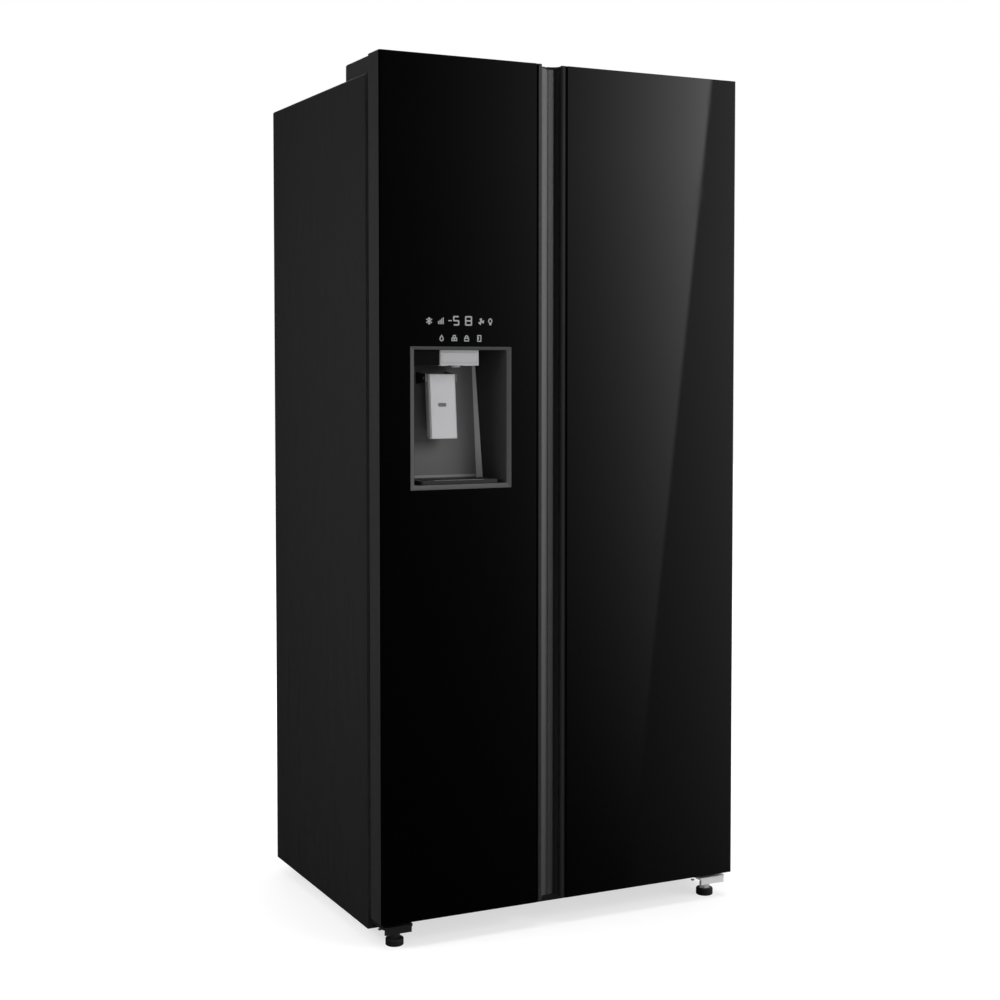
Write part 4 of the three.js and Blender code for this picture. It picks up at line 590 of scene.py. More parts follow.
    see_through("clear", "Clear plastic", f.clear, 0.09, 0.30, 0.85)
    see_through("shelf_glass", "Shelf glass", f.shelf, 0.02, 0.26, 0.95)
    finish(
        "icons", "Lit symbols", grey(0.02), 0.4,
        glow=(grain(500.0, 0.4), tinted(f.icon, 0.85), tinted(f.icon, 1.15), 1.0),
    )
    ripple = grain(260.0, 0.9)
    finish(
        "lamp", "Lamp lens", (0.86, 0.87, 0.86), 0.4, bumps=[(ripple, 0.0003, 0.8)],
        glow=(ripple, (0.75, 0.78, 0.80), grey(1.0), 0.35),
    )


# ---- Mesh helpers ----


def link(name, data, body):
    """Puts data into the scene as a piece that rides on a body."""
    made = bpy.data.objects.new(name, data)
    bpy.context.scene.collection.objects.link(made)
    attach(made, body)
    return made


def piece(name, bm, material, body):
    """Turns a bmesh into a finished piece that rides on a body."""
    bmesh.ops.recalc_face_normals(bm, faces=bm.faces)
    data = bpy.data.meshes.new(name)
    bm.to_mesh(data)
    bm.free()
    data.materials.append(MATERIALS[material])
    made = link(name, data, body)
    smooth(made, 0.7)
    return made


def smooth_group():
    """Soft shading across small angles, as a modifier that keeps the mesh as it is."""
    if "smooth" in GROUPS:
        return GROUPS["smooth"]
    tree = GROUPS["smooth"] = bpy.data.node_groups.new("Soft shading", "GeometryNodeTree")
    tree.interface.new_socket("Geometry", in_out="INPUT", socket_type="NodeSocketGeometry")
    tree.interface.new_socket("Angle", in_out="INPUT", socket_type="NodeSocketFloat")
    tree.interface.new_socket("Geometry", in_out="OUTPUT", socket_type="NodeSocketGeometry")
    nodes, links = tree.nodes, tree.links
    given, result = nodes.new("NodeGroupInput"), nodes.new("NodeGroupOutput")
    faces, edges = (nodes.new("GeometryNodeSetShadeSmooth") for _ in range(2))
    faces.domain, edges.domain = "FACE", "EDGE"
    fold = nodes.new("GeometryNodeInputMeshEdgeAngle")
    small = nodes.new("FunctionNodeCompare")
    small.operation = "LESS_THAN"
    links.new(given.outputs[0], faces.inputs[0])
    links.new(faces.outputs[0], edges.inputs[0])
    links.new(fold.outputs[0], small.inputs[0])
    links.new(given.outputs[1], small.inputs[1])
    links.new(small.outputs[0], edges.inputs["Shade Smooth"])
    links.new(edges.outputs[0], result.inputs[0])
    return tree


def smooth(target, fold):
    """Soft shading across edges that fold less than an angle in radians."""
    modifier = target.modifiers.new("Soft shading", "NODES")
    modifier.node_group = smooth_group()
    modifier[modifier.node_group.interface.items_tree["Angle"].identifier] = fold


def rounded(target, radius):
    """Rounds the sharp edges of an object without touching its own mesh."""
    modifier = target.modifiers.new("Edge radius", "BEVEL")
    modifier.width = radius
    modifier.segments = 2
    modifier.limit_method = "ANGLE"
    modifier.angle_limit = 0.6


def level_faces(target):
    """Keeps broad faces flat in their shading where soft edges meet them."""
    modifier = target.modifiers.new("Level faces", "WEIGHTED_NORMAL")
    modifier.weight = 90
    modifier.keep_sharp = True


def add_box(bm, low, high):
    """A box between two corners."""
    low, high = Vector(low), Vector(high)
    matrix = Matrix.Translation((low + high) / 2) @ Matrix.Diagonal((*(high - low), 1.0))
    bmesh.ops.create_cube(bm, size=1.0, matrix=matrix)


def close(bm, first, second):
    """A closed band of faces between two loops of as many vertices."""
    for i, _ in enumerate(first):
        j = (i + 1) % len(first)
        bm.faces.new((first[i], first[j], second[j], second[i]))


def add_prism(bm, outline, place, depth):
    """An outline of (a, b) pairs, placed by a function (a, b, c), from c = 0 to c = depth."""
    near, far = ([bm.verts.new(place(a, b, c)) for a, b in outline] for c in (0.0, depth))
    bm.faces.new(near)
    bm.faces.new(far[::-1])
    close(bm, far, near)


def add_ring(bm, outside, inside, place, depth):
    """A flat band between two outlines with as many points each."""
    loops = [
        [bm.verts.new(place(a, b, c)) for a, b in outline]
        for outline, c in ((outside, 0.0), (outside, depth), (inside, depth), (inside, 0.0))
    ]
    for first, second in zip(loops, loops[1:] + loops[:1]):
        close(bm, first, second)


def add_lathe(bm, profile, place, sides):
    """A body of revolution: profile of (radius, height), placed by a function (a, b, h)."""
    turns = [math.tau * i / sides for i in range(sides)]
    rings = []
    for radius, height in profile:
        around = turns if radius > 0.0 else [0.0]
        rings.append(
            [
                bm.verts.new(place(radius * math.cos(turn), radius * math.sin(turn), height))
                for turn in around
            ]
        )
    for lower, upper in zip(rings, rings[1:]):
        for i in range(sides):
            j = (i + 1) % sides
            corners = [
                lower[i % len(lower)], lower[j % len(lower)],
                upper[j % len(upper)], upper[i % len(upper)],
            ]
            corners = list(dict.fromkeys(corners))
            if len(corners) > 2:
                bm.faces.new(corners)


def round_corners(width, height, radius, steps=4):
    """A rounded rectangle about the origin, as (a, b) pairs."""
    points = []
    for quarter, (sx, sy) in enumerate(((1, 1), (-1, 1), (-1, -1), (1, -1))):
        for i in range(steps + 1):
            turn = (quarter + i / steps) * math.pi / 2
            points.append(
                (
                    sx * (width / 2 - radius) + radius * math.cos(turn),
                    sy * (height / 2 - radius) + radius * math.sin(turn),
                )
            )
    return points


def moved(outline, a, b):
    return [(x + a, y + b) for x, y in outline]


def on(matrix, lift=0.0):
    """A placing function (a, b, c) for a matrix, lifted a little off its plane."""
    return lambda a, b, c: matrix @ Vector((a, b, c + lift))


def upright(y, away=-1.0):
    """A placing function for a plane that faces -Y (or +Y): a is X, b is Z, c is away from it."""
    return lambda a, b, c: Vector((a, y + away * c, b))


def level(z, away=1.0):
    """A placing function for a plane that faces up or down: a is X, b is Y, c is away from it."""
    return lambda a, b, c: Vector((a, b, z + away * c))


def plate(name, outline, place, depth, material, body):
    """A piece that is one prism."""
    bm = bmesh.new()
    add_prism(bm, outline, place, depth)
    return piece(name, bm, material, body)


def thin_line(name, box, size, height, place, depth, material, body, steps=4):
    """A line with round ends, centred on a box; size is (short of the box, tall, radius)."""
    low, high = box
    short, tall, radius = size
    outline = round_corners(high.x - low.x - short, tall, radius, steps)
    outline = moved(outline, (low.x + high.x) / 2, height)
    return plate(name, outline, place, depth, material, body)


def sweep(name, points, radius, material, body):
    """A round bar or tube along points."""
    curve = bpy.data.curves.new(name, "CURVE")
    curve.dimensions = "3D"
    curve.bevel_depth = radius
    curve.bevel_resolution = 4
    curve.use_fill_caps = True
    line = curve.splines.new("BEZIER")
    line.bezier_points.add(len(points) - 1)
    for knot, point in zip(line.bezier_points, points):
        knot.co = point
        knot.handle_left_type = knot.handle_right_type = "AUTO"
    line.resolution_u = 6
    curve.materials.append(MATERIALS[material])
    link(name, curve, body)


def screws(name, places, body, radius, rise, material="zinc"):
    """Screw heads at (x, y, z) with the way they face, each with a dark cross on top, painted
    shade for its cross recess.

    They are pan shaped for a rise of about 0.6, as a share of the radius, and flush for a
    small one.
    """
    profile = [
        (radius * wide, radius * rise * tall)
        for wide, tall in ((0, 0), (1, 0), (1, 0.34), (0.86, 0.72), (0.5, 0.94), (0, 1))
    ]
    top, proud = radius * rise * 0.96, radius * rise * 0.06
    heads, slots = bmesh.new(), bmesh.new()
    for place, facing in places:
        turn = Vector(facing).to_track_quat("Z", "Y").to_matrix().to_4x4()
        matrix = Matrix.Translation(place) @ turn
        add_lathe(heads, profile, on(matrix), 20)
        # Painted shade: a thin dark cross stands on each head in place of its recess.
        for long, short in ((0.62, 0.11), (0.11, 0.62)):
            corners = [
                (a * long * radius, b * short * radius)
                for a, b in ((-1, -1), (1, -1), (1, 1), (-1, 1))
            ]
            add_prism(slots, corners, on(matrix, top), proud)
    piece(name, heads, material, body)
    piece(name + "_recesses", slots, "black_plastic", body)


def face_place(node, facing):
    """Origin at the middle of a solid's largest face that looks one way; Z points out of it."""
    facing = Vector(facing)
    polygons = NODES[node].data.polygons
    seen = (p for p in polygons if p.normal.dot(facing) > 0.9)
    normal = max(seen, key=lambda p: p.area).normal.copy()
    flat = [p for p in polygons if p.normal.dot(normal) > 0.9999]
    middle = sum((p.center * p.area for p in flat), Vector()) / sum(p.area for p in flat)
    up = Vector((0, 0, 1)) if abs(normal.z) < 0.7 else Vector((0, 1, 0))
    right = up.cross(normal).normalized()
    turn = Matrix((right, normal.cross(right), normal)).transposed().to_4x4()
    return Matrix.Translation(middle) @ turn


def skin(name, node, keep, material, body, lift):
    """A thin coat over those faces of a solid for which keep(normal, centre) holds."""
    data = NODES[node].data
    kept = [p for p in data.polygons if keep(p.normal, p.center)]
    outward = {}
    for face in kept:
        for index in face.vertices:
            outward[index] = outward.get(index, Vector()) + face.normal * face.area
    bm = bmesh.new()
    made = {
        index: bm.verts.new(data.vertices[index].co + way.normalized() * lift)
        for index, way in outward.items()
    }
    for face in kept:
        bm.faces.new([made[index] for index in face.vertices])
    return piece(name, bm, material, body)


# ---- The pieces ----

# The solids that take each finish.
FINISHES = {
    "sheet": ("outer_shell",),
    "galvanised": ("base_pan", "back_panel"),
    "foam": ("cabinet_foam", "freezer_door_core", "fridge_door_core"),
    "liner": ("freezer_liner", "fridge_liner", "freezer_door_liner", "fridge_door_liner"),
    "enamel": ("machine_cover", "compressor", "lower_hinge_left"),
    "copper": ("condenser_coil",),
    "black_plastic": (
        "condenser_fan_shroud", "condenser_fan", "freezer_fan", "hinge_cover_left",
        "hinge_cover_right", "display_module", "dispenser_paddle",
    ),
    "white": ("freezer_air_panel", "fridge_air_tower", "ice_maker"),
    "fins": ("evaporator_coil",),
    "zinc": ("upper_hinge_left", "upper_hinge_right"),
    "bright": ("lower_hinge_right",),
    "rubber": ("foot_left", "foot_right", "roller_left", "roller_right"),
    "bezel": ("dispenser_bezel",),
    "recess": ("dispenser_recess", "drip_tray"),
    "silver": ("nozzle_housing",),
    "clear": ("ice_bucket", *BINS, *DRAWERS),
    "glass": ("freezer_door_glass", "fridge_door_glass"),
    "door_side": ("freezer_door_frame", "fridge_door_frame"),
    "grip": ("freezer_door_grip",),
    "dark_grip": ("fridge_door_grip",),
    "seal": ("freezer_door_seal", "fridge_door_seal"),
    "shelf_glass": SHELVES,
}
NODE_FINISH = {node: finish_name for finish_name, nodes in FINISHES.items() for node in nodes}
EDGE_NODES = (
    "outer_shell", "hinge_cover_left", "hinge_cover_right", "dispenser_bezel",
    "nozzle_housing", "dispenser_paddle", "drip_tray", "dispenser_recess",
    "freezer_door_frame", "fridge_door_frame",
)


class FRIDGE_OT_finishes(bpy.types.Operator):
    """Gives every solid its finish and soft edges"""

    bl_idname = "fridge.finishes"
    bl_label = "Finishes"

    def execute(self, context):
        detail = context.scene.fridge_detail
        build_materials(context.scene.fridge_finish)
        for name, target in NODES.items():
            target.data.materials.clear()
            target.data.materials.append(MATERIALS[NODE_FINISH[name]])
            pane, soft = name.endswith("door_glass"), name in EDGE_NODES
            if pane or soft:
                rounded(target, detail.glass_edge if pane else detail.edge)
            smooth(target, 1.0 if soft else 0.6)
            if pane or soft:
                level_faces(target)
        return {"FINISHED"}


# Symbols of the display, as strokes in a unit square: polylines of (a, b).
SYMBOLS = {
    "flake": [
        [(0.5, 0.02), (0.5, 0.98)], [(0.08, 0.26), (0.92, 0.74)], [(0.08, 0.74), (0.92, 0.26)],
        [(0.36, 0.9), (0.5, 0.76), (0.64, 0.9)], [(0.36, 0.1), (0.5, 0.24), (0.64, 0.1)],
    ],
    "drop": [
        [(0.5, 0.96), (0.24, 0.5), (0.2, 0.3), (0.34, 0.1), (0.5, 0.05), (0.66, 0.1),
         (0.8, 0.3), (0.76, 0.5), (0.5, 0.96)],
    ],
    "cubes": [
        [(0.06, 0.1), (0.06, 0.52), (0.48, 0.52), (0.48, 0.1), (0.06, 0.1)],
        [(0.52, 0.1), (0.52, 0.52), (0.94, 0.52), (0.94, 0.1), (0.52, 0.1)],
        [(0.29, 0.54), (0.29, 0.94), (0.71, 0.94), (0.71, 0.54), (0.29, 0.54)],
    ],
    "lamp": [
        [(0.36, 0.28), (0.2, 0.56), (0.3, 0.86), (0.5, 0.95), (0.7, 0.86), (0.8, 0.56),
         (0.64, 0.28), (0.36, 0.28)],
        [(0.38, 0.14), (0.62, 0.14)], [(0.42, 0.02), (0.58, 0.02)],
    ],
    "lock": [
        [(0.14, 0.05), (0.14, 0.52), (0.86, 0.52), (0.86, 0.05), (0.14, 0.05)],
        [(0.28, 0.54), (0.28, 0.8), (0.5, 0.95), (0.72, 0.8), (0.72, 0.54)],
    ],
    "fan": [
        [(0.5, 0.5), (0.3, 0.86), (0.55, 0.95), (0.5, 0.5)],
        [(0.5, 0.5), (0.92, 0.6), (0.88, 0.3), (0.5, 0.5)],
        [(0.5, 0.5), (0.36, 0.06), (0.1, 0.3), (0.5, 0.5)],
    ],
    "bars": [
        [(0.1, 0.1), (0.1, 0.4)], [(0.37, 0.1), (0.37, 0.6)],
        [(0.64, 0.1), (0.64, 0.8)], [(0.91, 0.1), (0.91, 0.98)],
    ],
    "door": [
        [(0.2, 0.02), (0.2, 0.98), (0.8, 0.98), (0.8, 0.02), (0.2, 0.02)],
        [(0.34, 0.4), (0.34, 0.66)],
    ],
}

# Segments of a digit in a unit square, and the segments that each digit lights.
SEGMENTS = {
    "a": [(0.16, 0.97), (0.84, 0.97)], "b": [(0.97, 0.56), (0.97, 0.92)],
    "c": [(0.97, 0.08), (0.97, 0.44)], "d": [(0.16, 0.03), (0.84, 0.03)],
    "e": [(0.03, 0.08), (0.03, 0.44)], "f": [(0.03, 0.56), (0.03, 0.92)],
    "g": [(0.16, 0.50), (0.84, 0.50)],
}
DIGITS = {"5": "afgcd", "8": "abcdefg"}

# The display's layout: how far each middle lies from the glass's outer edge, with the digits'
# widths and the dash's start and length.
UPPER_ROW = (("flake", 0.1052), ("bars", 0.1306), ("fan", 0.2195), ("lamp", 0.2398))
LOWER_ROW = (("drop", 0.1322), ("cubes", 0.1600), ("lock", 0.1872), ("door", 0.2153))
DIGIT_ROW = (("5", 0.1643, 0.0115), ("8", 0.1915, 0.0135))
DASH = (0.1480, 0.0055)
UPPER_HEIGHT, LOWER_HEIGHT = 0.0516, 0.0168


def add_strokes(bm, lines, corner, size, width, place, film):
    """Flat bars along polylines that are given in a unit square, fitted into a box."""
    for line in lines:
        points = [Vector((corner[0] + a * size[0], corner[1] + b * size[1])) for a, b in line]
        for start, end in zip(points, points[1:]):
            along = (end - start).normalized() * (width / 2)
            side = Vector((-along.y, along.x))
            start, end = start - along, end + along
            add_prism(bm, [start - side, end - side, end + side, start + side], place, film)


class FRIDGE_OT_display(bpy.types.Operator):
    """Adds the lit symbols and digits over the dispenser"""

    bl_idname = "fridge.display"
    bl_label = "Display symbols"

    def execute(self, context):
        detail = context.scene.fridge_detail
        low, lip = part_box("freezer_door_glass")[0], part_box("dispenser_bezel")[1].z
        last = upright(low.y), detail.film
        size, tall = detail.icon_size, detail.digit_height
        upper = lip + UPPER_HEIGHT
        symbols, digits = bmesh.new(), bmesh.new()
        for row, height, wide in (
            (UPPER_ROW, upper - 0.001, size), (LOWER_ROW, lip + LOWER_HEIGHT, size * 0.95)
        ):
            for kind, middle in row:
                corner = (low.x + middle - wide / 2, height - wide / 2)
                add_strokes(symbols, SYMBOLS[kind], corner, (wide, wide), wide * 0.17, *last)
        for digit, middle, wide in DIGIT_ROW:
            lines = [SEGMENTS[segment] for segment in DIGITS[digit]]
            corner = (low.x + middle - wide / 2, upper - tall / 2)
            add_strokes(digits, lines, corner, (wide, tall), tall * 0.16, *last)
        dash = [(DASH[0], 0.0), (sum(DASH), 0.0)]
        add_strokes(digits, [dash], (low.x, upper), (1.0, 1.0), tall * 0.12, *last)
        piece("display_symbols", symbols, "icons", "freezer_door")
        piece("display_digits", digits, "icons", "freezer_door")
        return {"FINISHED"}


# The bezel's section from its outer edge to the mouth: share of the way in, and depth. None
# stands for the bezel's back.
BEZEL_SECTION = (
    (0.0, None), (0.0, 0.0003), (0.03, 0.0), (0.16, 0.0), (0.90, 0.0030), (1.0, 0.0036),
    (1.0, None),
)
BEZEL_CORNERS = (0.0012, 0.0030)
LEDGE_DEPTH, LEDGE_INSET, LEDGE_GAP = 0.003, 0.001, 0.0006

# Rounded rectangles: width, height and corner radius.
MARK, MARK_PLACE = (0.0185, 0.0082, 0.0030), (-0.002, 0.003)
HOUSING_LAMP, HOUSING_LAMP_PLACE = (0.020, 0.009, 0.003), (0.028, 0.019)

# Fine lines and frames: how much shorter than their node, height and corner radius.
HOUSING_FRAME, HOUSING_FRAME_WIDTH = (0.010, 0.0215, 0.003), 0.0004
TRAY_LINE, TRAY_LINE_PLACE = (0.060, 0.0036, 0.0012), 0.0052
SHELF_LINE, SHELF_LINE_PLACE = (0.004, 0.0050, 0.0016), 0.0035
DRAWER_LINE, DRAWER_LINE_PLACE = (0.030, 0.0060, 0.0020), 0.013
BIN_LINE, BIN_LINE_PLACE = (0.060, 0.0040, 0.0015), 0.006


class FRIDGE_OT_dispenser(bpy.types.Operator):
    """Adds the bezel's trim, the recess's painted light and black coat, the lever's plate, lamps
    and the tray's line
    """

    bl_idname = "fridge.dispenser"
    bl_label = "Dispenser"

    def execute(self, context):
        for step in (self.bezel, self.recess, self.lever, self.housing, self.tray):
            step(context.scene.fridge_detail)
        return {"FINISHED"}

    def bezel(self, detail):
        """The trim slopes inward to the mouth on all four sides."""
        low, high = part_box("dispenser_bezel")
        edge, mouth, deep = detail.bezel, detail.bezel_top, high.y - low.y
        outer = (low.x, low.z, high.x, high.z)
        inner = (low.x + edge, low.z + edge, high.x - edge, high.z - mouth)
        near, far = BEZEL_CORNERS
        bm = bmesh.new()
        loops = []
        for inward, depth in BEZEL_SECTION:
            x0, z0, x1, z1 = (o + (i - o) * inward for o, i in zip(outer, inner))
            corners = round_corners(x1 - x0, z1 - z0, near + (far - near) * inward, 3)
            outline = moved(corners, (x0 + x1) / 2, (z0 + z1) / 2)
            y = low.y + (deep if depth is None else depth)
            loops.append([bm.verts.new((a, y, b)) for a, b in outline])
        for first, second in zip(loops, loops[1:] + loops[:1]):
            close(bm, first, second)
        trim = piece("bezel_trim", bm, "bezel", "freezer_door")
        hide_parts("dispenser_bezel")

    def recess(self, detail):
        """A pale strip in the back right corner, a painted highlight; the back wall in a lighter
        grey, painted light, with a ledge at its foot in a lighter grey still, a painted highlight;
        and a gloss black coat left of the nozzle housing, over the lever."""
        film, low = detail.film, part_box("nozzle_housing")[0]
        middle = sum(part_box("dispenser_bezel"), Vector()).x / 2
        corner = Vector((-1.0, -1.0, 0.0)).normalized()
        # Painted highlight: a pale coat on the back right corner's faces, where the corner catches
        # light.
        skin(
            "recess_corner_strip", "dispenser_recess",
            lambda n, c: n.dot(corner) > 0.93 and c.x > middle,
            "painted", "freezer_door", film,
        )
        # Painted light: the back wall's faces take a lighter grey than the rest of the recess.
        back = skin(
            "recess_panel", "dispenser_recess",
            lambda n, c: n.y < -0.8 and c.y > low.y + 0.030,
            "panel", "freezer_door", film,
        )
        places = [v.co for v in back.data.vertices]
        foot = min(place.z for place in places)
        line = sorted((p for p in places if p.z < foot + 0.002), key=lambda p: p.x)
        start, end, rest = line[0], line[-1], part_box("drip_tray")[1].z
        lean = face_place("dispenser_recess", (0, -1, 0)).col[2]
        wall = start.y - (rest - start.z) * lean.z / lean.y
        # The ledge along the back wall's foot takes a grey twice as light as the panel's, a
        # painted highlight.
        bm = bmesh.new()
        add_box(
            bm, (start.x + LEDGE_INSET, wall - LEDGE_DEPTH, rest + LEDGE_GAP),
            (end.x - LEDGE_INSET, wall - film, rest + detail.ledge),
        )
        ledge = piece("recess_ledge", bm, "ledge", "freezer_door")
        rounded(ledge, detail.edge)
        # A gloss black coat on the recess's front faces to the left of the nozzle housing.
        skin(
            "recess_fascia", "dispenser_recess",
            lambda n, c: n.y < -0.9 and c.x < low.x and abs(c.y - low.y) < 0.002,
            "gloss_black_coat", "freezer_door", film,
        )

    def lever(self, detail):
        """A silver plate over the black lever, a quarter lighter than the housing's paint as
        painted light; its left side in a pale finish, a painted highlight; and its small mark.
        """
        film = detail.film
        for name, keep, material in (
            ("lever_plate", lambda n, c: n.y < -0.55, "lever"),
            # Painted highlight: the lever's left side faces take the pale bright plate finish.
            ("lever_side", lambda n, c: n.x < -0.9, "bright"),
        ):
            skin(name, "dispenser_paddle", keep, material, "paddle", film)
        plane = face_place("dispenser_paddle", (0, -1, 0))
        outline = moved(round_corners(*MARK), *MARK_PLACE)
        plate("lever_mark", outline, on(plane, film), film * 2, "satin", "paddle")

    def housing(self, detail):
        """Two lamps under the nozzle housing and a fine frame on its front."""
        low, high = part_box("nozzle_housing")
        wide, middle = high.x - low.x, (low.x + high.x) / 2
        floor = face_place("nozzle_housing", (0, 0, -1)).translation.z
        aside, back = HOUSING_LAMP_PLACE
        bm = bmesh.new()
        for side in (-1, 1):
            outline = moved(round_corners(*HOUSING_LAMP), middle + side * aside, low.y + back)
            add_prism(bm, outline, level(floor, -1.0), detail.film * 6)
        piece("housing_lamps", bm, "lamp", "freezer_door")
        short, tall, radius = HOUSING_FRAME
        outside, inside = (
            round_corners(wide - short - 2 * inset, tall - 2 * inset, radius - inset)
            for inset in (0.0, HOUSING_FRAME_WIDTH)
        )
        bm = bmesh.new()
        plane = face_place("nozzle_housing", (0, -1, 0))
        add_ring(bm, outside, inside, on(plane), detail.film)
        piece("housing_line", bm, "bezel", "freezer_door")

    def tray(self, detail):
        """A pale line along the tray's front."""
        low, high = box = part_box("drip_tray")
        thin_line(
            "tray_line", box, TRAY_LINE, low.y + TRAY_LINE_PLACE, level(high.z),
            detail.film * 3, "painted", "drip_tray", steps=2,
        )


# The seal's folds: how far in each one starts, and its width.
SEAL_FOLDS = ((0.0010, 0.0016), (0.0098, 0.0014))
SEAL_CORNER, FOLD_HEIGHT = 0.006, 0.0005


class FRIDGE_OT_doors(bpy.types.Operator):
    """Adds the strips of painted shade beside the glass, the grips' lip and floor plates and the
    seals' folds
    """

    bl_idname = "fridge.doors"
    bl_label = "Door details"

    def execute(self, context):
        for door in DOORS:
            self.grip(door, context.scene.fridge_detail)
            self.seal(door)
        return {"FINISHED"}

    def grip(self, door, detail):
        """A nearly black strip in the groove beside the glass, painted shade; the freezer grip's
        lip, in painted shade; and the grip's floor plate.
        """
        grip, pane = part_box(f"{door}_door_grip"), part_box(f"{door}_door_glass")
        left = door == "freezer"
        out, edge = (-1.0, grip[0].x) if left else (1.0, grip[1].x)
        reach = detail.floor_left if left else detail.floor_right
        bend = detail.floor_bend if left else 0.0
        face, lift = pane[0].y, detail.film
        bottom, top = pane[0].z + detail.edge, pane[1].z - detail.edge
        rise, floor, wide = grip[0].y - face, detail.groove_floor, detail.groove
        strip = [
            (0.0, floor), (wide, floor), (wide, rise + lift), (detail.groove_shade_strip, rise),
            (detail.groove_shade_strip, rise - lift), (wide - lift, rise - lift),
            (wide - lift, floor - lift), (0.0, floor - lift),
        ]
        plate(
            f"{door}_groove_strip", strip,
            lambda a, b, c: Vector((edge - out * a, face + b, bottom + c)), top - bottom,
            "groove", f"{door}_door",
        )
        if left:
            # Painted shade: the front faces of the freezer grip's nose take the darker copy of the
            # grip finish.
            skin(
                "freezer_grip_lip", "freezer_door_grip",
                lambda n, c: n.y < -0.8 and c.y < face + rise + 0.001,
                "lip", "freezer_door", lift / 2,
            )
        half, middle = edge - out * detail.half_channel, detail.door_gap / 2
        spans = [middle + (reach - middle) * i / 8 for i in range(9)]
        over = [(u, detail.floor_depth - bend * max(0.0, u - 0.002) ** 2) for u in spans]
        under = [(u, v + detail.floor_sheet) for u, v in reversed(over)]
        bottom, top = bottom + detail.floor_inset, top - detail.floor_inset
        plate(
            f"{door}_grip_floor", over + under,
            lambda a, b, c: Vector((half + out * a, face + b, bottom + c)), top - bottom,
            "grip", f"{door}_door",
        )

    def seal(self, door):
        """Two low folds round the seal."""
        low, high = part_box(f"{door}_door_seal")
        wide, tall = high.x - low.x, high.z - low.z
        bm = bmesh.new()
        for inset, width in SEAL_FOLDS:
            outside, inside = (
                moved(
                    round_corners(wide - 2 * i, tall - 2 * i, SEAL_CORNER),
                    (low.x + high.x) / 2, (low.z + high.z) / 2,
                )
                for i in (inset, inset + width)
            )
            add_ring(bm, outside, inside, upright(high.y, 1.0), FOLD_HEIGHT)
        piece(f"{door}_seal_folds", bm, "seal", f"{door}_door")


# A foam plug's section (radius, height), and the places (x, z) of the plugs.
PLUG = (
    (0.0, 0.0), (0.0190, 0.0), (0.0185, 0.0001), (0.0165, 0.00024), (0.0125, 0.00024),
    (0.010, 0.0001), (0.0, 0.0001),
)
PLUG_PLACES = ((-0.22, 0.62), (0.22, 0.62), (-0.22, 1.38), (0.22, 1.38))
SCREW_ROWS, COVER_COLUMNS, COVER_INSET = 6, 5, 0.007


class FRIDGE_OT_cabinet(bpy.types.Operator):
    """Adds screws to the back, the hinge covers and the brackets, and the foam plugs"""

    bl_idname = "fridge.cabinet"
    bl_label = "Cabinet details"

    def execute(self, context):
        self.back(context.scene.fridge_detail)
        self.hinges(context.scene.fridge_detail)
        return {"FINISHED"}

    def back(self, detail):
        """Flush screws round the back panel and the machine cover, and four foam plugs."""
        inset = detail.screw_inset
        low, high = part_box("back_panel")
        rear, first = high.y, low.z + inset + 0.01
        places = []
        for i in range(SCREW_ROWS):
            z = first + (high.z - inset - first) * i / (SCREW_ROWS - 1)
            places += [(low.x + inset, rear, z), (high.x - inset, rear, z)]
        for i in (1, 2, 3):
            places.append((low.x + (high.x - low.x) * i / 4, rear, high.z - inset))
        self.rear_screws("back_screws", places, detail)
        low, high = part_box("machine_cover")
        places = []
        for i in range(COVER_COLUMNS):
            x = low.x + (high.x - low.x) * i / (COVER_COLUMNS - 1)
            x = min(max(x, low.x + inset), high.x - inset)
            places += [(x, high.y, z) for z in (low.z + COVER_INSET, high.z - COVER_INSET)]
        self.rear_screws("cover_screws", places, detail)
        bm = bmesh.new()
        for x, z in PLUG_PLACES:
            add_lathe(bm, PLUG, lambda a, b, h: Vector((x + a, rear + h, z + b)), 32)
        piece("foam_plugs", bm, "black_plastic", "cabinet")

    def rear_screws(self, name, places, detail):
        heads = [(place, (0, 1, 0)) for place in places]
        screws(name, heads, "cabinet", detail.screw, detail.flush)

    def hinges(self, detail):
        """Flush screws in the hinge covers and pan heads under the lower brackets."""
        covers, brackets = [], []
        for side in SIDES:
            low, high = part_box(f"hinge_cover_{side}")
            x = (low.x + high.x) / 2
            for y in (high.y - 0.034, low.y + 0.045):
                covers.append(((x, y, high.z), (0, 0, 1)))
            low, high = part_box(f"lower_hinge_{side}")
            x = (low.x + high.x) / 2
            for i in (-1, 1):
                brackets.append(((x + i * 0.020, high.y - 0.013, low.z), (0, 0, -1)))
        screws(
            "hinge_cover_screws", covers, "cabinet", detail.screw, detail.flush, "enamel",
        )
        screws("bracket_screws", brackets, "cabinet", detail.screw, detail.proud)


# The compressor's tubes: side, reach, rise and radius.
TUBES = {
    "discharge_tube": (-1, 0.075, 0.016, 0.0030),
    "suction_tube": (1, 0.060, 0.017, 0.0042),
}
WIRES, WIRE_INSET = 30, 0.030


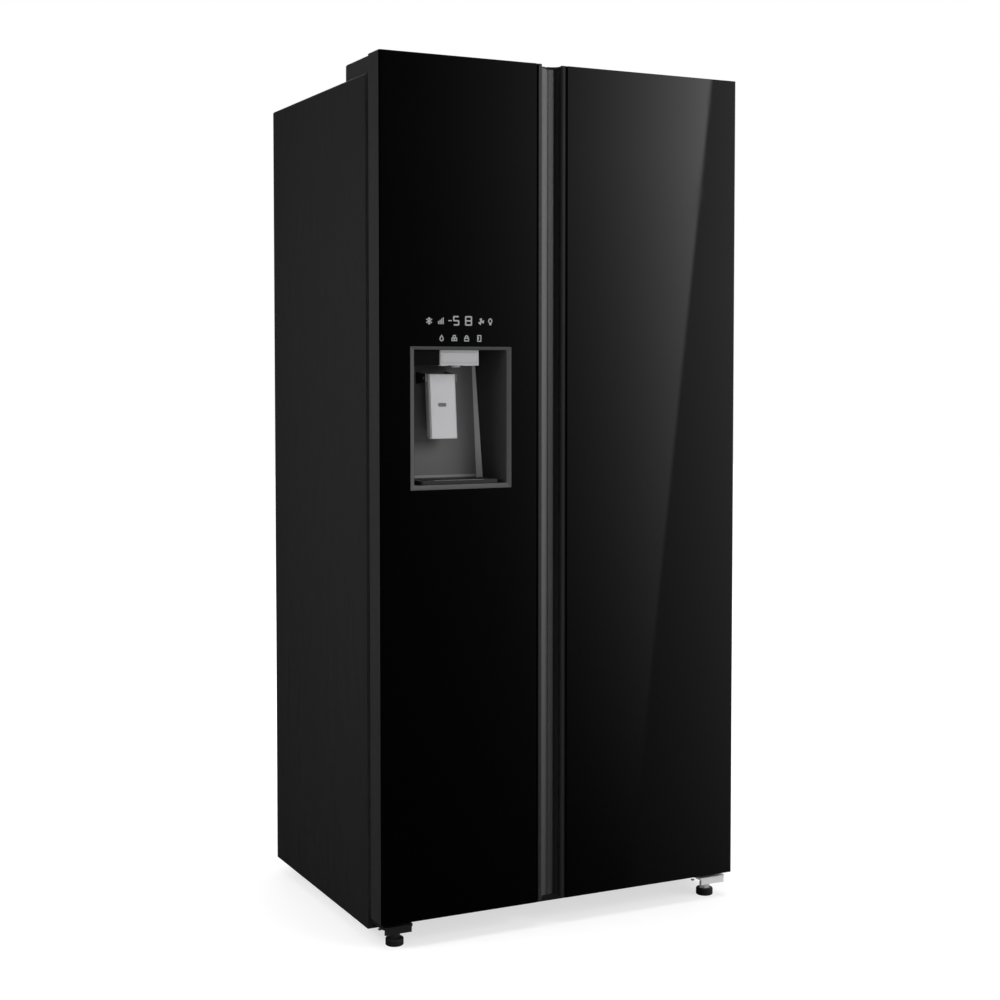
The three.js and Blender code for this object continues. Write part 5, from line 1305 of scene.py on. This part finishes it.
class FRIDGE_OT_machine(bpy.types.Operator):
    """Adds the tubes and wires of the machine compartment"""

    bl_idname = "fridge.machine"
    bl_label = "Machine compartment"

    def execute(self, context):
        low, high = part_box("compressor")
        x, y = (low.x + high.x) / 2, (low.y + high.y) / 2
        for name, (side, reach, rise, radius) in TUBES.items():
            start = Vector((x + side * 0.024, y - 0.020, high.z - 0.012))
            bends = (
                (0.0, 0.0, 0.0), (0.0, 0.0, 0.012), (side * 0.03, -0.02, 0.020),
                (side * reach, -0.052, rise),
            )
            points = [start + Vector(bend) for bend in bends]
            sweep(name, points, radius, "copper", "cabinet")
        low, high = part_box("condenser_coil")
        wire, wide = context.scene.fridge_detail.wire, high.x - low.x - 2 * WIRE_INSET
        bm = bmesh.new()
        for i in range(WIRES):
            x = low.x + WIRE_INSET + wide * i / (WIRES - 1) - wire / 2
            for y in (low.y - wire, high.y):
                add_box(bm, (x, y, low.z + WIRE_INSET), (x + wire, y + wire, high.z - 0.004))
        piece("condenser_wires", bm, "enamel", "cabinet")
        return {"FINISHED"}


# Each room's lamp: how far its middle lies behind the upper shelf's front, its width and length.
ROOM_LAMPS = {"freezer": (0.030, 0.110, 0.046), "fridge": (0.095, 0.200, 0.070)}
LAMP_FRAME, LAMP_LENS, LENS_GAP = 0.006, 0.0045, 0.0002

# The air tower's slots: width, height and radius, and the shares of its height with four each.
SLOT, SLOT_STEP, SLOT_HEIGHTS = (0.060, 0.0050, 0.0022), 0.011, (0.16, 0.52, 0.86)


class FRIDGE_OT_interior(bpy.types.Operator):
    """Adds room lamps, the lines of shelves, drawers and bins, and the air tower's slots as
    painted shade
    """

    bl_idname = "fridge.interior"
    bl_label = "Interior"

    def execute(self, context):
        detail = context.scene.fridge_detail
        for room in DOORS:
            self.lamp(room, detail)
        self.lines(detail)
        self.vents(detail)
        return {"FINISHED"}

    def lamp(self, room, detail):
        """A rippled lens in a white frame on the ceiling of a room."""
        low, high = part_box(f"{room}_liner")
        back, wide, long = ROOM_LAMPS[room]
        x, y = (low.x + high.x) / 2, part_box(f"{room}_shelf_upper")[0].y + back
        seat, inset = level(high.z - detail.ceiling, -1.0), detail.lamp_border * 2
        outside, inside, lens = (
            moved(round_corners(wide - less, long - less, radius), x, y)
            for less, radius in (
                (0.0, 0.010), (inset, 0.006), (inset + 2 * LENS_GAP, 0.006)
            )
        )
        bm = bmesh.new()
        add_ring(bm, outside, inside, seat, LAMP_FRAME)
        rounded(piece(f"{room}_lamp_frame", bm, "white", "cabinet"), 0.0012)
        plate(f"{room}_lamp_lens", lens, seat, LAMP_LENS, "lamp", "cabinet")

    def lines(self, detail):
        """A fine line along the front of each shelf and drawer and along each door bin's lip."""
        for node in SHELVES:
            low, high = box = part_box(node)
            line = thin_line(
                f"{node}_front_line", box, SHELF_LINE, high.z - SHELF_LINE_PLACE,
                upright(low.y), detail.shelf_lip, "satin", "cabinet",
            )
            rounded(line, 0.0004)
        for node in DRAWERS:
            low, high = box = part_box(node)
            thin_line(
                f"{node}_line", box, DRAWER_LINE, high.z - DRAWER_LINE_PLACE, upright(low.y),
                detail.film * 8, "painted", node,
            )
        for node in BINS:
            low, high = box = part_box(node)
            height = low.z + detail.bin_lip - BIN_LINE_PLACE
            thin_line(
                f"{node}_line", box, BIN_LINE, height, upright(high.y, 1.0), detail.film * 4,
                "satin", node.split("_bin")[0],
            )

    def vents(self, detail):
        """Dark patches on the fridge's air tower, painted shade for its slots."""
        low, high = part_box("fridge_air_tower")
        bm = bmesh.new()
        for height in SLOT_HEIGHTS:
            for row in range(4):
                z = low.z + (high.z - low.z) * height + row * SLOT_STEP
                outline = moved(round_corners(*SLOT), (low.x + high.x) / 2, z)
                add_prism(bm, outline, upright(low.y), detail.film)
        piece("air_tower_slots", bm, "bezel", "cabinet")


class FRIDGE_OT_feet(bpy.types.Operator):
    """Builds the levelling feet: a pad, a hexagon, a collar and a threaded stud"""

    bl_idname = "fridge.feet"
    bl_label = "Feet"

    def execute(self, context):
        detail = context.scene.fridge_detail
        for side, metal in zip(SIDES, ("black_plastic", "bright")):
            body, seat = f"foot_{side}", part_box(f"lower_hinge_{side}")[0].z
            low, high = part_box(body)
            place = on(Matrix.Translation(((low.x + high.x) / 2, (low.y + high.y) / 2, 0.0)))
            self.pad(body, place, detail)
            self.stem(body, place, seat, high.z, metal, detail)
        return {"FINISHED"}

    def pad(self, body, place, detail):
        radius, tall = detail.pad, detail.pad_height
        profile = [
            (0.0, 0.0), (radius * 0.92, 0.0), (radius, 0.0014), (radius, tall * 0.34),
            (radius * 0.965, tall * 0.38), (radius * 0.965, tall * 0.44),
            (radius, tall * 0.48), (radius, tall - 0.0022), (radius * 0.95, tall - 0.0006),
            (radius * 0.88, tall), (radius * 0.5, tall), (0.0, tall),
        ]
        bm = bmesh.new()
        add_lathe(bm, profile, place, 36)
        pad = piece(f"{body}_pad", bm, "rubber", body)
        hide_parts(body)

    def stem(self, body, place, seat, top, metal, detail):
        """A hexagon on the pad, a collar up to the bracket's seat and a threaded stud."""
        start, pitch, stud = detail.pad_height, detail.thread_pitch, detail.stud
        flats, collar = start + detail.hexagon, detail.collar
        across, seat = collar * 1.14, seat - 0.0001
        nut = [
            (0.0, start - 0.001), (across * 0.96, start - 0.001), (across, start + 0.0006),
            (across, flats - 0.0006), (across * 0.95, flats), (0.0, flats),
        ]
        ring = [
            (0.0, flats - 0.001), (collar, flats - 0.001), (collar, seat - 0.0005),
            (collar * 0.95, seat), (0.0, seat),
        ]
        thread = [(0.0, flats)]
        for turn in range(int((top - flats) / pitch)):
            z = flats + turn * pitch
            thread += [(stud - 0.0007, z), (stud, z + pitch / 2)]
        thread.append((0.0, top))
        bm = bmesh.new()
        for profile, sides in ((nut, 6), (ring, 28), (thread, 20)):
            add_lathe(bm, profile, place, sides)
        piece(f"{body}_stem", bm, metal, body)


# ---- The stage ----

WHITE, FLOOR_GREY, FLOOR_PALE = ((tone, tone, tone, 1.0) for tone in (1.0, 0.42, 0.78))

# The studio's soft lamps: diameter, place and what each points at.
LAMPS = {
    "key": (2.6, (2.2, -3.6, 2.6), (0.0, 0.0, 0.8)),
    "side": (0.9, (-1.85, -0.3, 1.32), (-0.4, -0.2, 1.28)),
    "top": (3.0, (0.2, -0.2, 4.6), (0.0, 0.0, 0.0)),
    "back": (2.6, (0.8, 4.2, 2.6), (0.0, 0.0, 0.8)),
}
FLOOR_REACH, FLOOR_DROP = 14.0, -0.0004
FLOOR_GLOW, GLOW_REACH = 0.64, (0.7, 2.4)

# The card that the glass mirrors, in degrees of azimuth and elevation: the azimuth of its edge
# at eye height, how far the edge leans per degree of elevation and half its blur; then for the
# card and for the room past it, the growth per degree, the azimuth at which it is one, and the
# elevations between which it rises from the floor; the bend of the card's rise, the azimuth at
# which the room past it stops growing, and the darkest share of both.
CARD_EDGE, CARD_LEAN, CARD_BLUR = 32.47, 0.098, 0.06
CARD_GROWTH, CARD_ONE, CARD_RISE = 1.462, 33.21, (-17.6, 7.4)
PAST_GROWTH, PAST_ONE, PAST_RISE = 1.297, 33.81, (-21.6, 2.4)
CARD_BEND, PAST_END, DARKEST = 1.35, 35.5, 0.05
ROOM_TOP, ROOM_TOP_LIGHT = (32.0, 80.0), 0.9
WALL_BACK, WALL_ASIDE, WALL_LIGHT, ROOM_LIGHT = (0.55, 0.85), (0.02, 0.35), 0.5, 0.006


class FRIDGE_OT_stage(bpy.types.Operator):
    """Sets up the pale floor, the lamps, the studio round them and the camera"""

    bl_idname = "fridge.stage"
    bl_label = "Stage, lamps and camera"

    def execute(self, context):
        studio = context.scene.fridge_studio
        self.camera(context, studio)
        self.floor(context)
        self.room(context, studio)
        for name, (size, place, target) in LAMPS.items():
            self.lamp(context, name, getattr(studio, name), size, place, target)
        return {"FINISHED"}

    def camera(self, context, studio):
        data = bpy.data.cameras.new("camera")
        data.lens = studio.lens
        data.sensor_width = 36.0
        data.shift_y = studio.shift
        data.dof.use_dof = False
        made = bpy.data.objects.new("camera", data)
        context.scene.collection.objects.link(made)
        made.location = studio.place
        made.rotation_euler = (math.pi / 2 - studio.pitch, 0.0, -studio.yaw)
        context.scene.camera = made
        context.scene.view_settings.view_transform = "Standard"

    def lamp(self, context, name, energy, size, place, target):
        data = bpy.data.lights.new(name, "AREA")
        data.shape = "DISK"
        data.size = size
        data.energy = energy
        made = bpy.data.objects.new(name, data)
        context.scene.collection.objects.link(made)
        made.location = place
        made.visible_glossy = False
        made.visible_camera = False
        way = Vector(target) - Vector(place)
        made.rotation_euler = way.to_track_quat("-Z", "Y").to_euler()

    def floor(self, context):
        """A floor that glows into the backdrop for the camera and that gloss doesn't show."""
        bm = bmesh.new()
        corners = [(a * FLOOR_REACH, b * FLOOR_REACH) for a, b in
                   ((-1, -1), (1, -1), (1, 1), (-1, 1))]
        bm.faces.new([bm.verts.new((x, y, FLOOR_DROP)) for x, y in corners])
        data = bpy.data.meshes.new("floor")
        bm.to_mesh(data)
        bm.free()
        made = bpy.data.objects.new("floor", data)
        context.scene.collection.objects.link(made)

        material = bpy.data.materials.new("Pale floor")
        material.use_nodes = True
        t = Tree(material.node_tree)
        t.nodes.clear()
        path = t.add("LightPath").outputs
        x, y, _ = t.add("SeparateXYZ", {0: t.object_place()}).outputs
        away = t.math("SQRT", t.math("ADD", t.multiply(x, x), t.multiply(y, y)))
        strength = t.between(away, *GLOW_REACH, FLOOR_GLOW, 1.0, smooth=True)
        lit = t.add("BsdfDiffuse", {"Color": FLOOR_GREY})
        glow = t.add("Emission", {"Color": WHITE, "Strength": strength})
        seen = t.add("AddShader", {0: lit.outputs[0], 1: glow.outputs[0]})
        plain = t.add("BsdfDiffuse", {"Color": FLOOR_PALE})
        shown = t.math("MAXIMUM", path["Is Camera Ray"], path["Is Transmission Ray"])
        first = t.either(shown, plain, seen)
        last = t.either(path["Is Glossy Ray"], first, t.add("BsdfTransparent"))
        t.add("OutputMaterial", {"Surface": last.outputs[0]})
        data.materials.append(material)

    def room(self, context, studio):
        """White behind the object, dark beside the camera, with one soft card at the right."""
        world = bpy.data.worlds.new("studio")
        context.scene.world = world
        world.use_nodes = True
        t = Tree(world.node_tree)
        t.nodes.clear()
        path = t.add("LightPath").outputs
        way = t.add("TexCoord").outputs["Generated"]
        x, y, z = t.add("SeparateXYZ", {0: way}).outputs
        azimuth = t.degrees(x, t.multiply(y, -1.0))
        flat = t.math("SQRT", t.math("SUBTRACT", 1.0, t.multiply(z, z)))
        elevation = t.degrees(z, flat)

        # The card grows brighter to its slanted edge, and both it and the room past it fade
        # towards the floor.
        edge = t.math("ADD", t.multiply(elevation, CARD_LEAN), CARD_EDGE)
        inside = t.between(t.math("SUBTRACT", edge, azimuth), -CARD_BLUR, CARD_BLUR)
        across = t.math("POWER", CARD_GROWTH, t.math("SUBTRACT", azimuth, CARD_ONE))
        rise = t.math("POWER", t.between(elevation, *CARD_RISE), CARD_BEND)
        card = t.multiply(across, t.between(rise, 0.0, 1.0, DARKEST, 1.0), studio.card)
        near = t.math("MINIMUM", azimuth, PAST_END)
        past = t.math("POWER", PAST_GROWTH, t.math("SUBTRACT", near, PAST_ONE))
        past = t.multiply(past, t.between(elevation, *PAST_RISE, DARKEST, 1.0), studio.beyond)
        outside = t.math("SUBTRACT", 1.0, inside)
        card = t.math("ADD", t.multiply(card, inside), t.multiply(past, outside))

        # Pale light from above, and the backdrop that the camera looks at.
        above = t.multiply(t.between(elevation, *ROOM_TOP, smooth=True), ROOM_TOP_LIGHT)
        behind = t.between(y, *WALL_BACK, smooth=True)
        wall = t.multiply(behind, t.between(x, *WALL_ASIDE, smooth=True), WALL_LIGHT)
        total = t.math("ADD", t.math("ADD", card, above), t.math("ADD", wall, ROOM_LIGHT))
        seen, mirrored, soft = (
            t.add("Background", {"Color": WHITE, "Strength": strength})
            for strength in (1.0, total, studio.ambient)
        )
        shown = t.math("MAXIMUM", path["Is Camera Ray"], path["Is Transmission Ray"])
        last = t.either(shown, t.either(path["Is Glossy Ray"], soft, mirrored), seen)
        t.add("OutputWorld", {"Surface": last.outputs[0]})


# ---- Registration ----


class FRIDGE_PT_panel(bpy.types.Panel):
    """Lists the steps and settings of the refrigerator"""

    bl_label = "Refrigerator"
    bl_idname = "FRIDGE_PT_panel"
    bl_space_type = "VIEW_3D"
    bl_region_type = "UI"
    bl_category = "Refrigerator"

    def draw(self, context):
        for operator in OPERATORS:
            self.layout.operator(operator.bl_idname)
        for key in SETTINGS:
            box, settings = self.layout.box(), getattr(context.scene, key)
            for name in settings.__annotations__:
                box.prop(settings, name)


SETTINGS = {
    "fridge_finish": FridgeFinish,
    "fridge_detail": FridgeDetail,
    "fridge_studio": FridgeStudio,
}
OPERATORS = (
    FRIDGE_OT_stage,
    FRIDGE_OT_finishes,
    FRIDGE_OT_display,
    FRIDGE_OT_dispenser,
    FRIDGE_OT_doors,
    FRIDGE_OT_cabinet,
    FRIDGE_OT_machine,
    FRIDGE_OT_interior,
    FRIDGE_OT_feet,
)
CLASSES = (*SETTINGS.values(), *OPERATORS, FRIDGE_PT_panel)


def register():
    for kind in CLASSES:
        bpy.utils.register_class(kind)
    for name, settings in SETTINGS.items():
        setattr(bpy.types.Scene, name, bpy.props.PointerProperty(type=settings))


def unregister():
    for name in SETTINGS:
        delattr(bpy.types.Scene, name)
    for kind in reversed(CLASSES):
        bpy.utils.unregister_class(kind)


def main():
    register()
    for operator in OPERATORS:
        family, step = operator.bl_idname.split(".")
        getattr(getattr(bpy.ops, family), step)()


if __name__ == "__main__":
    main()
